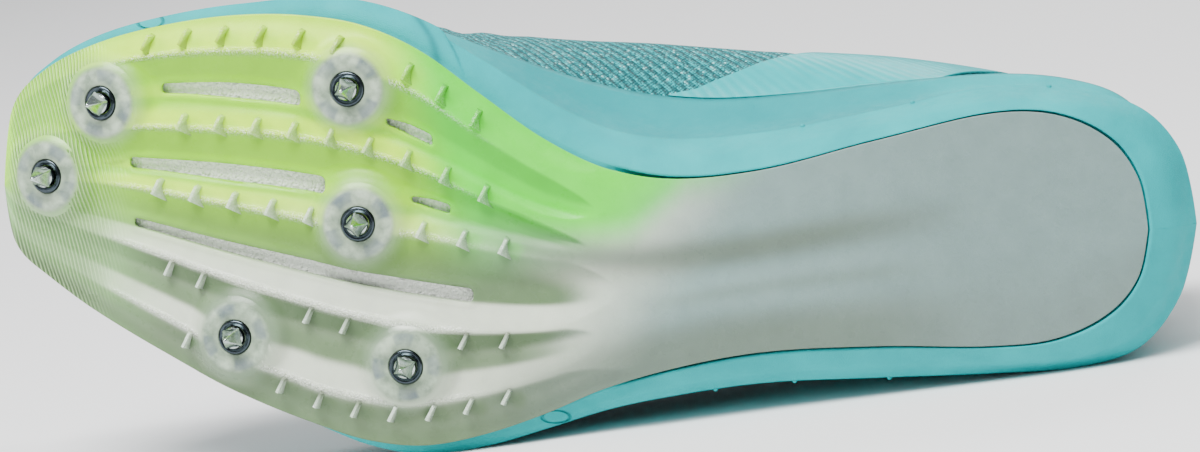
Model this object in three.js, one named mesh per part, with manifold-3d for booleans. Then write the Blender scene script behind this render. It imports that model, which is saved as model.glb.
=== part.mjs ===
// A right track spike shoe lying on its outer side, in millimetres.
// Shoe axes: x from toe to heel, y from the inner to the outer side, z from plate to collar.
import * as THREE from 'three';
import { mergeVertices } from 'three/addons/utils/BufferGeometryUtils.js';
import { ConvexHull } from 'three/addons/math/ConvexHull.js';
import Module from 'manifold-3d';

const wasm = await Module();
wasm.setup();

// Driving dimensions
const soleLength = 287;
const ballWidth = 103;
const toeSpring = 24;
const instepHeight = 82;
const plateThickness = 1.6;
const ribDepth = 1.5;
const edgeCurl = 1.8;
const boardThickness = 0.8;
const wall = 1.8;
const collarPad = 1.6;
const insoleThickness = 3;
const tongueThickness = 2.6;
const filmThickness = 0.6;
const fit = 0.3;
const lip = 1.3;
const bossTopDiameter = 17.5;
const bossBaseDiameter = 24.5;
const bossHeight = 2.6;
const receptacleDiameter = 8;
const spikeLength = 6.4;
const spikeWidth = 5.2;
const finLength = 4.6;
const finWidth = 1.3;
const finHeight = 1.9;
const laceDiameter = 2.6;
const laceRows = 6;

// Mesh density
const stations = 30;
const wallSteps = 4;

// Tables: at is a share of the line's own length, the rest are shares of the named size

// Height of the plate's underside, of toeSpring
const rocker = table(['at', 'z'], [
  [0.000, 1.000], [0.035, 0.840], [0.087, 0.620], [0.139, 0.430], [0.209, 0.230], [0.279, 0.092],
  [0.348, 0.025], [0.401, 0.000], [0.488, 0.025], [0.592, 0.075], [0.697, 0.133], [0.801, 0.192],
  [0.906, 0.258], [1.000, 0.330],
]);

// Plate edge, inner and outer, of ballWidth
const plateEdge = table(['at', 'inner', 'outer'], [
  [0.000, -0.080, -0.080], [0.009, -0.258, 0.050], [0.041, -0.355, 0.134], [0.086, -0.415, 0.214],
  [0.143, -0.459, 0.295], [0.218, -0.490, 0.392], [0.279, -0.491, 0.452], [0.331, -0.469, 0.493],
  [0.381, -0.411, 0.503], [0.434, -0.309, 0.475], [0.485, -0.212, 0.428], [0.536, -0.145, 0.369],
  [0.587, -0.117, 0.326], [0.664, -0.131, 0.285], [0.766, -0.198, 0.270], [0.867, -0.260, 0.271],
  [0.918, -0.259, 0.257], [0.968, -0.199, 0.194], [0.992, -0.110, 0.113], [1.000, 0.005, 0.005],
]);

// Widest line of the midsole, of ballWidth, and its height over the plate, of toeSpring
const rim = table(['at', 'inner', 'innerRise', 'outer', 'outerRise'], [
  [0.000, -0.080, 0.21, -0.080, 0.21], [0.009, -0.270, 0.21, 0.050, 0.21],
  [0.041, -0.372, 0.25, 0.127, 0.24], [0.083, -0.434, 0.29, 0.208, 0.26],
  [0.137, -0.478, 0.33, 0.293, 0.28], [0.209, -0.512, 0.36, 0.396, 0.29],
  [0.268, -0.519, 0.38, 0.461, 0.29], [0.317, -0.501, 0.40, 0.511, 0.28],
  [0.366, -0.456, 0.41, 0.529, 0.28], [0.418, -0.374, 0.43, 0.506, 0.28],
  [0.467, -0.286, 0.46, 0.466, 0.29], [0.516, -0.221, 0.49, 0.424, 0.30],
  [0.564, -0.197, 0.50, 0.396, 0.31], [0.641, -0.209, 0.50, 0.365, 0.32],
  [0.735, -0.257, 0.50, 0.354, 0.33], [0.833, -0.312, 0.50, 0.345, 0.34],
  [0.910, -0.300, 0.50, 0.330, 0.38], [0.956, -0.258, 0.50, 0.283, 0.42],
  [0.986, -0.165, 0.50, 0.175, 0.47], [1.000, 0.005, 0.50, 0.005, 0.50],
]);

// Foot of the upper's wall, y of ballWidth and z of instepHeight
const seat = table(['at', 'inner', 'innerZ', 'outer', 'outerZ'], [
  [0.000, -0.080, 0.384, -0.080, 0.384], [0.011, -0.250, 0.367, 0.050, 0.367],
  [0.036, -0.350, 0.341, 0.126, 0.341], [0.079, -0.422, 0.305, 0.218, 0.305],
  [0.133, -0.461, 0.256, 0.301, 0.256], [0.205, -0.487, 0.207, 0.393, 0.207],
  [0.270, -0.488, 0.189, 0.453, 0.183], [0.324, -0.469, 0.185, 0.485, 0.177],
  [0.378, -0.427, 0.210, 0.493, 0.177], [0.432, -0.369, 0.256, 0.471, 0.195],
  [0.486, -0.315, 0.317, 0.442, 0.226], [0.540, -0.277, 0.360, 0.411, 0.256],
  [0.594, -0.262, 0.372, 0.388, 0.274], [0.665, -0.272, 0.372, 0.360, 0.293],
  [0.755, -0.301, 0.366, 0.339, 0.323], [0.845, -0.320, 0.360, 0.321, 0.348],
  [0.899, -0.309, 0.363, 0.308, 0.360], [0.946, -0.267, 0.372, 0.268, 0.372],
  [0.982, -0.160, 0.380, 0.170, 0.380], [1.000, 0.005, 0.384, 0.005, 0.384],
]);

// Widest line of the upper, y of ballWidth and z of instepHeight
const waist = table(['at', 'inner', 'innerZ', 'outer', 'outerZ'], [
  [0.000, -0.087, 0.450, -0.087, 0.450], [0.012, -0.262, 0.445, 0.048, 0.445],
  [0.041, -0.359, 0.433, 0.136, 0.433], [0.087, -0.427, 0.402, 0.228, 0.402],
  [0.140, -0.466, 0.366, 0.311, 0.366], [0.211, -0.493, 0.335, 0.403, 0.335],
  [0.274, -0.489, 0.329, 0.466, 0.329], [0.327, -0.461, 0.366, 0.478, 0.317],
  [0.381, -0.431, 0.427, 0.478, 0.329], [0.434, -0.414, 0.488, 0.461, 0.360],
  [0.487, -0.400, 0.537, 0.443, 0.410], [0.540, -0.392, 0.561, 0.422, 0.460],
  [0.593, -0.380, 0.573, 0.398, 0.490], [0.664, -0.365, 0.573, 0.371, 0.500],
  [0.752, -0.350, 0.567, 0.351, 0.524], [0.841, -0.314, 0.561, 0.327, 0.537],
  [0.894, -0.279, 0.561, 0.303, 0.549], [0.940, -0.223, 0.561, 0.246, 0.561],
  [0.975, -0.136, 0.567, 0.150, 0.567], [1.000, 0.005, 0.573, 0.005, 0.573],
]);

// Ridge of the toe box, then edge of throat and collar; turn is the wall's curl to it in degrees
const railRows = table(['at', 'inner', 'innerZ', 'outer', 'outerZ', 'turn'], [
  [0.000, -0.097, 0.537, -0.097, 0.537, 88], [0.041, -0.087, 0.573, -0.087, 0.573, 88],
  [0.098, -0.068, 0.585, -0.068, 0.585, 88], [0.173, -0.044, 0.604, -0.044, 0.604, 88],
  [0.248, -0.024, 0.640, -0.024, 0.640, 88], [0.305, -0.010, 0.683, -0.010, 0.683, 86],
  [0.320, -0.066, 0.700, 0.050, 0.700, 83], [0.361, -0.096, 0.751, 0.085, 0.751, 78],
  [0.436, -0.124, 0.855, 0.124, 0.855, 70], [0.511, -0.146, 0.951, 0.155, 0.951, 60],
  [0.560, -0.170, 1.000, 0.183, 1.000, 52], [0.605, -0.206, 0.982, 0.228, 0.982, 46],
  [0.662, -0.248, 0.909, 0.267, 0.909, 40], [0.718, -0.272, 0.848, 0.291, 0.848, 36],
  [0.782, -0.277, 0.823, 0.291, 0.823, 34], [0.850, -0.257, 0.866, 0.272, 0.866, 34],
  [0.906, -0.218, 0.951, 0.233, 0.951, 34], [0.955, -0.160, 1.030, 0.170, 1.030, 34],
  [0.985, -0.092, 1.067, 0.102, 1.067, 34], [1.000, 0.005, 1.073, 0.005, 1.073, 34],
]);

function rail(at) {
  const row = railRows(at);
  if (at > throatAt) return row;
  const middle = (row.inner + row.outer) / 2;
  return { ...row, inner: middle, outer: middle };
}

// Height of the bed under the foot, of instepHeight
const bed = table(['at', 'z'], [
  [0.00, 0.345], [0.04, 0.285], [0.14, 0.200], [0.28, 0.140], [0.40, 0.140],
  [0.56, 0.195], [0.72, 0.250], [0.86, 0.270], [1.00, 0.290],
]);

// Toe and heel ends of the lines, of soleLength
const plateSpan = { toe: 0.000, heel: 0.960 };
const rimSpan = { toe: 0.002, heel: 1.000 };
const seatSpan = { toe: 0.017, heel: 0.986 };
const waistSpan = { toe: 0.009, heel: 0.993 };
const railSpan = { toe: 0.049, heel: 0.976 };
const heelFlat = { front: 0.70, rear: 0.92 };
const throatAt = 0.305;
const throatTopAt = 0.560;
const eyestayFrontAt = 0.350;
const saddle = { front: 0.600, full: 0.70, rear: 0.84 };

// Crests and troughs along the forefoot, as shares of the plate's width at three places
const ribPlaces = { front: 0.07, middle: 0.28, rear: 0.49 };
const ribs = [
  { crest: 1, front: 0.040, middle: 0.055, rear: 0.090 },
  { crest: 0, front: 0.180, middle: 0.205, rear: 0.220 },
  { crest: 1, front: 0.290, middle: 0.280, rear: 0.285 },
  { crest: 0, front: 0.430, middle: 0.405, rear: 0.340 },
  { crest: 1, front: 0.540, middle: 0.500, rear: 0.410 },
  { crest: 0, front: 0.640, middle: 0.620, rear: 0.580 },
  { crest: 1, front: 0.720, middle: 0.710, rear: 0.700 },
  { crest: 0, front: 0.815, middle: 0.825, rear: 0.785 },
  { crest: 1, front: 0.890, middle: 0.900, rear: 0.860 },
];

// Windows along the troughs: rib number, ends of soleLength, width of ballWidth
const slots = [
  { rib: 1, from: 0.145, to: 0.266, width: 0.036 },
  { rib: 3, from: 0.115, to: 0.286, width: 0.040 },
  { rib: 5, from: 0.118, to: 0.408, width: 0.032 },
  { rib: 1, from: 0.338, to: 0.376, width: 0.026 },
  { rib: 3, from: 0.358, to: 0.390, width: 0.022 },
];

// Spike places: x of soleLength, y of ballWidth
const spikePlaces = [
  { x: 0.095, y: -0.284 }, { x: 0.044, y: -0.108 }, { x: 0.308, y: -0.326 },
  { x: 0.315, y: -0.016 }, { x: 0.209, y: 0.252 }, { x: 0.353, y: 0.313 },
];

// Runs of fins along the crests: rib number, first and last place of soleLength, how many
const finRuns = [
  { rib: 0, from: 0.136, to: 0.266, count: 5 }, { rib: 0, from: 0.359, to: 0.414, count: 3 },
  { rib: 2, from: 0.133, to: 0.421, count: 10 },
  { rib: 4, from: 0.139, to: 0.240, count: 4 }, { rib: 4, from: 0.366, to: 0.434, count: 3 },
  { rib: 6, from: 0.143, to: 0.175, count: 2 }, { rib: 6, from: 0.266, to: 0.300, count: 2 },
  { rib: 6, from: 0.400, to: 0.434, count: 2 },
  { rib: 8, from: 0.262, to: 0.304, count: 2 }, { rib: 8, from: 0.405, to: 0.436, count: 2 },
];

// Reading the tables

function table(columns, rows) {
  const places = rows.map((row) => Math.acos(1 - 2 * row[0]));
  const values = rows.flatMap((row) => row.slice(1));
  const curve = new THREE.CubicInterpolant(places, values, columns.length - 1);
  return (at) => {
    const found = curve.evaluate(Math.acos(1 - 2 * THREE.MathUtils.clamp(at, 0, 1)));
    return Object.fromEntries(columns.slice(1).map((name, i) => [name, found[i]]));
  };
}

function along(span, at) {
  return soleLength * THREE.MathUtils.lerp(span.toe, span.heel, at);
}

function shareOf(span, x) {
  return (x / soleLength - span.toe) / (span.heel - span.toe);
}

// The underside is one plane from the front to the back of the heel
function ground(x) {
  const place = x / soleLength;
  if (place < heelFlat.front) return toeSpring * rocker(place).z;
  const slope = (rocker(heelFlat.rear).z - rocker(heelFlat.front).z) / (heelFlat.rear - heelFlat.front);
  return toeSpring * (rocker(heelFlat.front).z + slope * (place - heelFlat.front));
}

// Station shares, close together at toe and heel, with one on each end of the throat and films
function stationShares() {
  const shares = [];
  for (let i = 0; i <= stations; i++) shares.push(0.5 - 0.5 * Math.cos(Math.PI * i / stations));
  for (const end of [throatAt, eyestayFrontAt, throatTopAt, saddle.front, saddle.rear]) {
    let nearest = 1;
    shares.forEach((share, i) => {
      if (Math.abs(share - end) < Math.abs(shares[nearest] - end)) nearest = i;
    });
    shares[nearest] = end;
  }
  return shares;
}
const shares = stationShares();
const throatStation = shares.indexOf(throatAt);

// Building closed bodies

function geometryFrom(points, faces) {
  const geometry = new THREE.BufferGeometry();
  geometry.setAttribute('position', new THREE.Float32BufferAttribute(points.flatMap((p) => [p.x, p.y, p.z]), 3));
  geometry.setIndex(faces.flat());
  return geometry;
}

function cleaned(geometry) {
  geometry.deleteAttribute('normal');
  geometry.deleteAttribute('uv');
  const merged = mergeVertices(geometry, 1e-3);
  const index = merged.index.array;
  const kept = [];
  for (let i = 0; i < index.length; i += 3) {
    const [a, b, c] = [index[i], index[i + 1], index[i + 2]];
    if (a !== b && b !== c && c !== a) kept.push(a, b, c);
  }
  merged.setIndex(kept);
  return merged;
}

function volumeOf(geometry) {
  const p = geometry.attributes.position;
  const index = geometry.index.array;
  const [a, b, c] = [new THREE.Vector3(), new THREE.Vector3(), new THREE.Vector3()];
  let total = 0;
  for (let i = 0; i < index.length; i += 3) {
    a.fromBufferAttribute(p, index[i]);
    b.fromBufferAttribute(p, index[i + 1]);
    c.fromBufferAttribute(p, index[i + 2]);
    total += a.dot(b.cross(c)) / 6;
  }
  return total;
}

function facedOut(geometry) {
  if (volumeOf(geometry) > 0) return geometry;
  const index = Array.from(geometry.index.array);
  for (let i = 0; i < index.length; i += 3) [index[i + 1], index[i + 2]] = [index[i + 2], index[i + 1]];
  geometry.setIndex(index);
  return geometry;
}

// A closed body through closed rings of points, the first and last of which fold flat
function loft(rings) {
  const points = rings.flat();
  const n = rings[0].length;
  const faces = [];
  for (let i = 0; i + 1 < rings.length; i++) {
    for (let j = 0; j < n; j++) {
      const [a, b] = [i * n + j, i * n + (j + 1) % n];
      faces.push([a, b, b + n], [a, b + n, a + n]);
    }
  }
  return facedOut(cleaned(geometryFrom(points, faces)));
}

// A closed body from a sheet of points and faces, thickened towards its back by depth(i)
function shell(sheet, depth, flatFoot) {
  const front = cleaned(sheet);
  front.computeVertexNormals();
  const position = front.attributes.position;
  const normal = front.attributes.normal;
  const index = Array.from(front.index.array);
  const count = position.count;
  const points = [];
  for (let i = 0; i < count; i++) points.push(new THREE.Vector3().fromBufferAttribute(position, i));
  for (let i = 0; i < count; i++) {
    const way = new THREE.Vector3().fromBufferAttribute(normal, i);
    if (flatFoot && flatFoot(points[i])) way.setZ(0).normalize();
    points.push(points[i].clone().addScaledVector(way, -depth(points[i])));
  }
  const used = new Set();
  for (let i = 0; i < index.length; i += 3) {
    for (const [a, b] of [[0, 1], [1, 2], [2, 0]]) used.add(index[i + a] + '_' + index[i + b]);
  }
  const faces = [];
  for (let i = 0; i < index.length; i += 3) {
    const corner = [index[i], index[i + 1], index[i + 2]];
    faces.push(corner, [corner[0] + count, corner[2] + count, corner[1] + count]);
    for (const [a, b] of [[0, 1], [1, 2], [2, 0]]) {
      const [from, to] = [corner[a], corner[b]];
      if (used.has(to + '_' + from)) continue;
      faces.push([to, from, from + count], [to, from + count, to + count]);
    }
  }
  return facedOut(cleaned(geometryFrom(points, faces)));
}

// Joining and cutting

function solid(geometry) {
  const ready = facedOut(cleaned(geometry.index ? geometry : mergeVertices(geometry)));
  const mesh = new wasm.Mesh({
    numProp: 3,
    vertProperties: Float32Array.from(ready.attributes.position.array),
    triVerts: Uint32Array.from(ready.index.array),
  });
  return new wasm.Manifold(mesh);
}

function geometryOf(body) {
  const mesh = body.getMesh();
  const geometry = new THREE.BufferGeometry();
  geometry.setAttribute('position', new THREE.BufferAttribute(Float32Array.from(mesh.vertProperties), 3));
  geometry.setIndex(Array.from(mesh.triVerts));
  return geometry;
}

// The last: points on the outside of the upper

// side is -1 for the inner and 1 for the outer side; rise runs 0 to 1 to the waist and 1 to 2 to the rail
function lastPoint(at, side, rise) {
  const edge = side < 0 ? 'inner' : 'outer';
  const [low, mid, top] = [seat(at), waist(at), rail(at)];
  const foot = new THREE.Vector3(along(seatSpan, at), ballWidth * low[edge], instepHeight * low[edge + 'Z']);
  const wide = new THREE.Vector3(along(waistSpan, at), ballWidth * mid[edge], instepHeight * mid[edge + 'Z']);
  const head = new THREE.Vector3(along(railSpan, at), ballWidth * top[edge], instepHeight * top[edge + 'Z']);
  if (rise <= 1) {
    const out = 1 - (1 - rise) ** 1.6;
    return new THREE.Vector3(
      THREE.MathUtils.lerp(foot.x, wide.x, out),
      THREE.MathUtils.lerp(foot.y, wide.y, out),
      THREE.MathUtils.lerp(foot.z, wide.z, rise ** 1.1),
    );
  }
  const turn = THREE.MathUtils.degToRad(top.turn);
  const angle = (rise - 1) * turn;
  const inward = (1 - Math.cos(angle)) / (1 - Math.cos(turn));
  return new THREE.Vector3(
    THREE.MathUtils.lerp(wide.x, head.x, inward),
    THREE.MathUtils.lerp(wide.y, head.y, inward),
    THREE.MathUtils.lerp(wide.z, head.z, Math.sin(angle) / Math.sin(turn)),
  );
}

// A strip of the last between two stations and two rises, each side by itself
function lastSheet(list, side, lowRise, highRise, steps) {
  const points = [];
  const faces = [];
  list.forEach((at, i) => {
    for (let j = 0; j <= steps; j++) {
      points.push(lastPoint(at, side, THREE.MathUtils.lerp(lowRise(at), highRise(at), j / steps)));
    }
    if (i === 0) return;
    for (let j = 0; j < steps; j++) {
      const a = (i - 1) * (steps + 1) + j;
      const b = a + steps + 1;
      faces.push(side < 0 ? [a, a + 1, b + 1] : [a, b + 1, a + 1]);
      faces.push(side < 0 ? [a, b + 1, b] : [a, b, b + 1]);
    }
  });
  return { points, faces };
}

function joined(sheets) {
  const points = [];
  const faces = [];
  for (const sheet of sheets) {
    const start = points.length;
    points.push(...sheet.points);
    faces.push(...sheet.faces.map((face) => face.map((i) => i + start)));
  }
  return geometryFrom(points, faces);
}

function smooth(value, from, to) {
  return THREE.MathUtils.smoothstep(value, from, to);
}

// Plate with ribs, bosses, fins and windows

function ribShare(rib, x) {
  const place = x / soleLength;
  if (place < ribPlaces.middle) {
    const f = (place - ribPlaces.front) / (ribPlaces.middle - ribPlaces.front);
    return THREE.MathUtils.lerp(rib.front, rib.middle, THREE.MathUtils.clamp(f, 0, 1));
  }
  const f = (place - ribPlaces.middle) / (ribPlaces.rear - ribPlaces.middle);
  return THREE.MathUtils.lerp(rib.middle, rib.rear, THREE.MathUtils.clamp(f, 0, 1));
}

function ribStrength(x) {
  const place = x / soleLength;
  return smooth(place, 0.02, 0.11) * (1 - smooth(place, 0.42, 0.60));
}

function ribY(rib, x) {
  const edge = plateEdge(shareOf(plateSpan, x));
  return ballWidth * THREE.MathUtils.lerp(edge.inner, edge.outer, ribShare(rib, x));
}

// The plate's edge curls up a little in the forefoot
function curl(share, x) {
  const out = Math.abs(share - 0.5) * 2;
  const place = x / soleLength;
  return edgeCurl * smooth(out, 0.82, 1) * smooth(place, 0, 0.06) * (1 - smooth(place, 0.40, 0.62));
}

function plateTop(x) {
  return ground(x) + plateThickness + ribDepth * ribStrength(x);
}

function plateBody() {
  const rings = shares.map((at) => {
    const x = along(plateSpan, at);
    const edge = plateEdge(at);
    const cuts = [{ share: 0, crest: 0.6 }];
    for (const rib of ribs) cuts.push({ share: ribShare(rib, x), crest: rib.crest });
    cuts.push({ share: 1, crest: 0.6 });
    const low = cuts.map(({ share, crest }) => new THREE.Vector3(
      x,
      ballWidth * THREE.MathUtils.lerp(edge.inner, edge.outer, share),
      ground(x) + curl(share, x) + ribDepth * (1 - crest) * ribStrength(x),
    ));
    const high = [0, 0.09, 0.5, 0.91, 1].map((share) => new THREE.Vector3(
      x,
      ballWidth * THREE.MathUtils.lerp(edge.inner, edge.outer, share),
      plateTop(x) + curl(share, x),
    ));
    return [...low, ...high.reverse()];
  });
  return solid(loft(rings));
}

// Turned frame on the plate's underside: local z points out of the sole
function underside(x, y) {
  const slope = Math.atan2(ground(x + 1) - ground(x - 1), 2);
  const place = new THREE.Object3D();
  const edge = plateEdge(shareOf(plateSpan, x));
  const share = (y / ballWidth - edge.inner) / (edge.outer - edge.inner);
  place.position.set(x, y, ground(x) + curl(THREE.MathUtils.clamp(share, 0, 1), x));
  place.rotation.set(Math.PI, slope, 0);
  place.updateMatrix();
  return place.matrix;
}

function slotCutter({ rib, from, to, width }) {
  const [start, end] = [from * soleLength, to * soleLength];
  const half = width * ballWidth / 2;
  const upper = [];
  const lower = [];
  const steps = 10;
  for (let i = 0; i <= steps; i++) {
    const f = i / steps;
    const x = THREE.MathUtils.lerp(start, end, f);
    const y = ribY(ribs[rib], x);
    const reach = half * (1 - Math.abs(2 * f - 1) ** 5);
    upper.push(new THREE.Vector2(x, y + reach));
    if (i > 0 && i < steps) lower.unshift(new THREE.Vector2(x, y - reach));
  }
  const shape = new THREE.Shape([...upper, ...lower]);
  const cutter = new THREE.ExtrudeGeometry(shape, { depth: 2 * toeSpring, bevelEnabled: false });
  return solid(cutter.translate(0, 0, -toeSpring / 2));
}

function bossBody(x, y) {
  const [r, R, h] = [bossTopDiameter / 2, bossBaseDiameter / 2, bossHeight];
  const profile = [[0, -0.9], [R, -0.9], [R - 0.6, 0.3], [r + 1.4, h * 0.6], [r - 0.5, h], [0, h]].map(([a, b]) => new THREE.Vector2(a, b));
  const boss = new THREE.LatheGeometry(profile, 16).rotateX(Math.PI / 2);
  return solid(boss.applyMatrix4(underside(x, y)));
}

const boreSides = 12;
const receptacleDepth = bossHeight + plateThickness + ribDepth - 1.2;

function boreCutter(x, y) {
  const radius = receptacleDiameter / 2 + fit;
  const bore = new THREE.CylinderGeometry(radius, radius, receptacleDepth + 2, boreSides).rotateX(Math.PI / 2);
  bore.translate(0, 0, bossHeight - receptacleDepth + (receptacleDepth + 2) / 2);
  return solid(bore.applyMatrix4(underside(x, y)));
}

function finBody(rib, x) {
  const [l, w, h] = [finLength / 2, finWidth / 2, finHeight];
  const profile = new THREE.Shape([
    new THREE.Vector2(-l, -1), new THREE.Vector2(l, -1), new THREE.Vector2(l * 0.3, h),
    new THREE.Vector2(-l * 0.3, h),
  ]);
  const fin = new THREE.ExtrudeGeometry(profile, { depth: 2 * w, bevelEnabled: false });
  fin.translate(0, 0, -w).rotateX(Math.PI / 2).rotateZ(THREE.MathUtils.degToRad(59));
  return solid(fin.applyMatrix4(underside(x, ribY(rib, x))));
}

function plate() {
  let body = plateBody();
  for (const { x, y } of spikePlaces) body = body.add(bossBody(x * soleLength, y * ballWidth));
  for (const { rib, from, to, count } of finRuns) {
    for (let i = 0; i < count; i++) {
      const x = soleLength * THREE.MathUtils.lerp(from, to, i / (count - 1));
      body = body.add(finBody(ribs[rib], x));
    }
  }
  for (const slot of slots) body = body.subtract(slotCutter(slot));
  for (const { x, y } of spikePlaces) body = body.subtract(boreCutter(x * soleLength, y * ballWidth));
  return geometryOf(body);
}

// White board that shows through the windows, cut off square at both ends

const boardEnds = { toe: 0.055, heel: 0.560 };
const boardReach = 0.80;

function underBoard(x) {
  return x > boardEnds.toe * soleLength && x < boardEnds.heel * soleLength;
}

function board() {
  const places = shares.map((at) => along(plateSpan, at)).filter(underBoard);
  const rings = places.map((x) => {
    const edge = plateEdge(shareOf(plateSpan, x));
    const middle = (edge.inner + edge.outer) / 2;
    const half = (edge.outer - edge.inner) / 2 * boardReach;
    const low = plateTop(x) + fit;
    const across = [-1, -0.5, 0, 0.5, 1].map((f) => ballWidth * (middle + half * f));
    const under = across.map((y) => new THREE.Vector3(x, y, low));
    const over = across.map((y) => new THREE.Vector3(x, y, low + boardThickness));
    return [...under, ...over.reverse()];
  });
  return capped(rings);
}

// Midsole

const lipSpan = { toe: seatSpan.toe - lip / soleLength, heel: seatSpan.heel + lip / soleLength };
const plateOverhang = 1.2;
const grooveSpan = {
  toe: plateSpan.toe + plateOverhang / soleLength,
  heel: plateSpan.heel + 1.5 * fit / soleLength,
};
const bedInset = (wall + 1.2) / soleLength;
const bedSpan = { toe: seatSpan.toe + bedInset, heel: seatSpan.heel - bedInset };

// 0 at the toe and heel ends of a line, 1 along its sides
function open(at) {
  return Math.sqrt(smooth(Math.min(at, 1 - at), -0.0001, 0.03));
}

const bedShares = [1, 0.88, 0.66, 0.36];

function bedPoint(at, side, share, lift) {
  const edge = side < 0 ? 'inner' : 'outer';
  const low = seat(at);
  const middle = ballWidth * (low.inner + low.outer) / 2;
  const half = Math.abs(ballWidth * low[edge] - middle);
  const outside = middle + side * Math.max(0, half - (wall + 1.2) * Math.min(1, half / 8));
  const height = THREE.MathUtils.lerp(instepHeight * bed(at).z, instepHeight * low[edge + 'Z'] - fit, share ** 3);
  const x = along(bedSpan, at);
  return new THREE.Vector3(x, THREE.MathUtils.lerp(middle, outside, share), height + lift);
}

function midsole() {
  const rings = shares.map((at) => {
    const [low, high] = [rim(at), seat(at)];
    const half = (side) => {
      const edge = side < 0 ? 'inner' : 'outer';
      const plateX = along(grooveSpan, at);
      const wrapOut = smooth(at, 0.43, 0.50);
      const wrapDown = smooth(at, 0.53, 0.64);
      const roof = plateTop(plateX) + fit + (underBoard(plateX) ? boardThickness + fit : 0);
      const brinkZ = plateTop(plateX) + curl(1, plateX) + fit;
      const middleY = ballWidth * (plateEdge(at).inner + plateEdge(at).outer) / 2;
      const plateY = ballWidth * plateEdge(at)[edge];
      const foot = THREE.MathUtils.lerp(brinkZ + 0.1, ground(plateX) + 0.2, wrapDown);
      const grown = at === 0 || at === 1 ? 0 : open(at);
      const inset = THREE.MathUtils.lerp(-plateOverhang, fit, wrapOut) * side * grown;
      const out = new THREE.Vector3(along(rimSpan, at), ballWidth * low[edge], 0);
      out.z = ground(out.x) + toeSpring * low[edge + 'Rise'];
      const reach = boardReach + 0.05;
      const hollow = new THREE.Vector3(plateX, THREE.MathUtils.lerp(middleY, plateY, reach), roof);
      const groove = new THREE.Vector3(plateX, plateY + inset, brinkZ);
      const brim = new THREE.Vector3(plateX, plateY + inset + 0.15 * side * grown, foot);
      const lipY = ballWidth * high[edge] + lip * side * grown;
      const crown = new THREE.Vector3(along(lipSpan, at), lipY, instepHeight * high[edge + 'Z'] - fit);
      const under = brim.clone().lerp(out, 0.55);
      under.z -= (out.z - brim.z) * 0.18;
      const above = out.clone().lerp(crown, 0.5);
      above.y -= side * grown * 0.8 * smooth(at, 0.42, 0.55) * (side < 0 ? 1 : 0.4);
      return [hollow, groove, brim, under, out, above, crown, ...bedShares.map((share) => bedPoint(at, side, share, 0))];
    };
    const [inner, outer] = [half(-1), half(1)];
    const bottom = inner[0].clone().lerp(outer[0], 0.5);
    return [bottom, ...outer, bedPoint(at, 1, 0, 0), ...inner.reverse()];
  });
  return loft(rings);
}

// Insole lying in the bed

function insole() {
  const across = [...bedShares.slice(1), 0];
  const list = shares.slice(2, -2);
  const rings = list.map((at, i) => {
    const spread = i === 0 || i === list.length - 1 ? 0 : 1;
    const row = (lift) => [
      ...across.map((share) => bedPoint(at, -1, share * spread, lift)),
      ...across.slice(0, -1).reverse().map((share) => bedPoint(at, 1, share * spread, lift)),
    ];
    return [...row(fit + insoleThickness), ...row(fit).reverse()];
  });
  return loft(rings);
}

// Upper

function lastForm() {
  const zero = () => 0;
  const full = () => 2;
  const front = shares.slice(0, throatStation + 1);
  const rear = shares.slice(throatStation);
  return joined([front, rear].flatMap((list) => [-1, 1].map(
    (side) => lastSheet(list, side, zero, full, 2 * wallSteps))));
}

function upper() {
  const depth = (p) => {
    const place = p.x / soleLength;
    const height = p.z / instepHeight;
    return wall + collarPad * smooth(place, 0.60, 0.72) * smooth(height, 0.62, 0.8);
  };
  const isFoot = (p) => {
    const low = seat(shareOf(seatSpan, p.x));
    const near = (edge) => Math.abs(p.z - instepHeight * low[edge + 'Z']) < 0.02
      && Math.abs(p.y - ballWidth * low[edge]) < 0.02;
    return near('inner') || near('outer');
  };
  return shell(lastForm(), depth, isFoot);
}

// The last's point moved along its own normal, outward for a positive distance

function offsetPoint(at, side, rise, distance) {
  const p = lastPoint(at, side, rise);
  const d = 0.004;
  const alongX = lastPoint(Math.min(1, at + d), side, rise).sub(lastPoint(at - d, side, rise));
  const alongZ = lastPoint(at, side, Math.min(2, rise + d)).sub(lastPoint(at, side, rise - d));
  const normal = alongX.cross(alongZ).multiplyScalar(-side).normalize();
  return p.addScaledVector(normal, distance);
}

// Tongue: under the throat it follows the last a wall and a gap deeper, and its end stands free

const tongueFrontAt = 0.270;
const tongueFree = 14;

function tongue() {
  const rises = [1.66, 1.8, 1.92, 2];
  const row = (at, depth) => {
    const inner = rises.map((rise) => offsetPoint(at, -1, rise, -depth));
    const outer = rises.map((rise) => offsetPoint(at, 1, rise, -depth));
    const middle = inner[3].clone().lerp(outer[3], 0.5);
    middle.z += 0.06 * inner[3].distanceTo(outer[3]);
    return [...inner, middle, ...outer.reverse()];
  };
  const gap = wall + fit + 0.2;
  const places = shares.filter((at) => at > tongueFrontAt && at <= throatTopAt);
  const rings = places.map((at) => [...row(at, gap), ...row(at, gap + tongueThickness).reverse()]);
  const end = rings[rings.length - 1];
  const middle = end[4];
  for (const [reach, narrow] of [[0.3, 0.80], [0.7, 0.76], [1, 0.60]]) {
    rings.push(end.map((p) => new THREE.Vector3(
      p.x + tongueFree * reach * 0.86,
      THREE.MathUtils.lerp(middle.y, p.y, narrow),
      p.z + tongueFree * reach * 0.62 - 2 * (1 - narrow) * reach,
    )));
  }
  return capped(rings);
}

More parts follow.
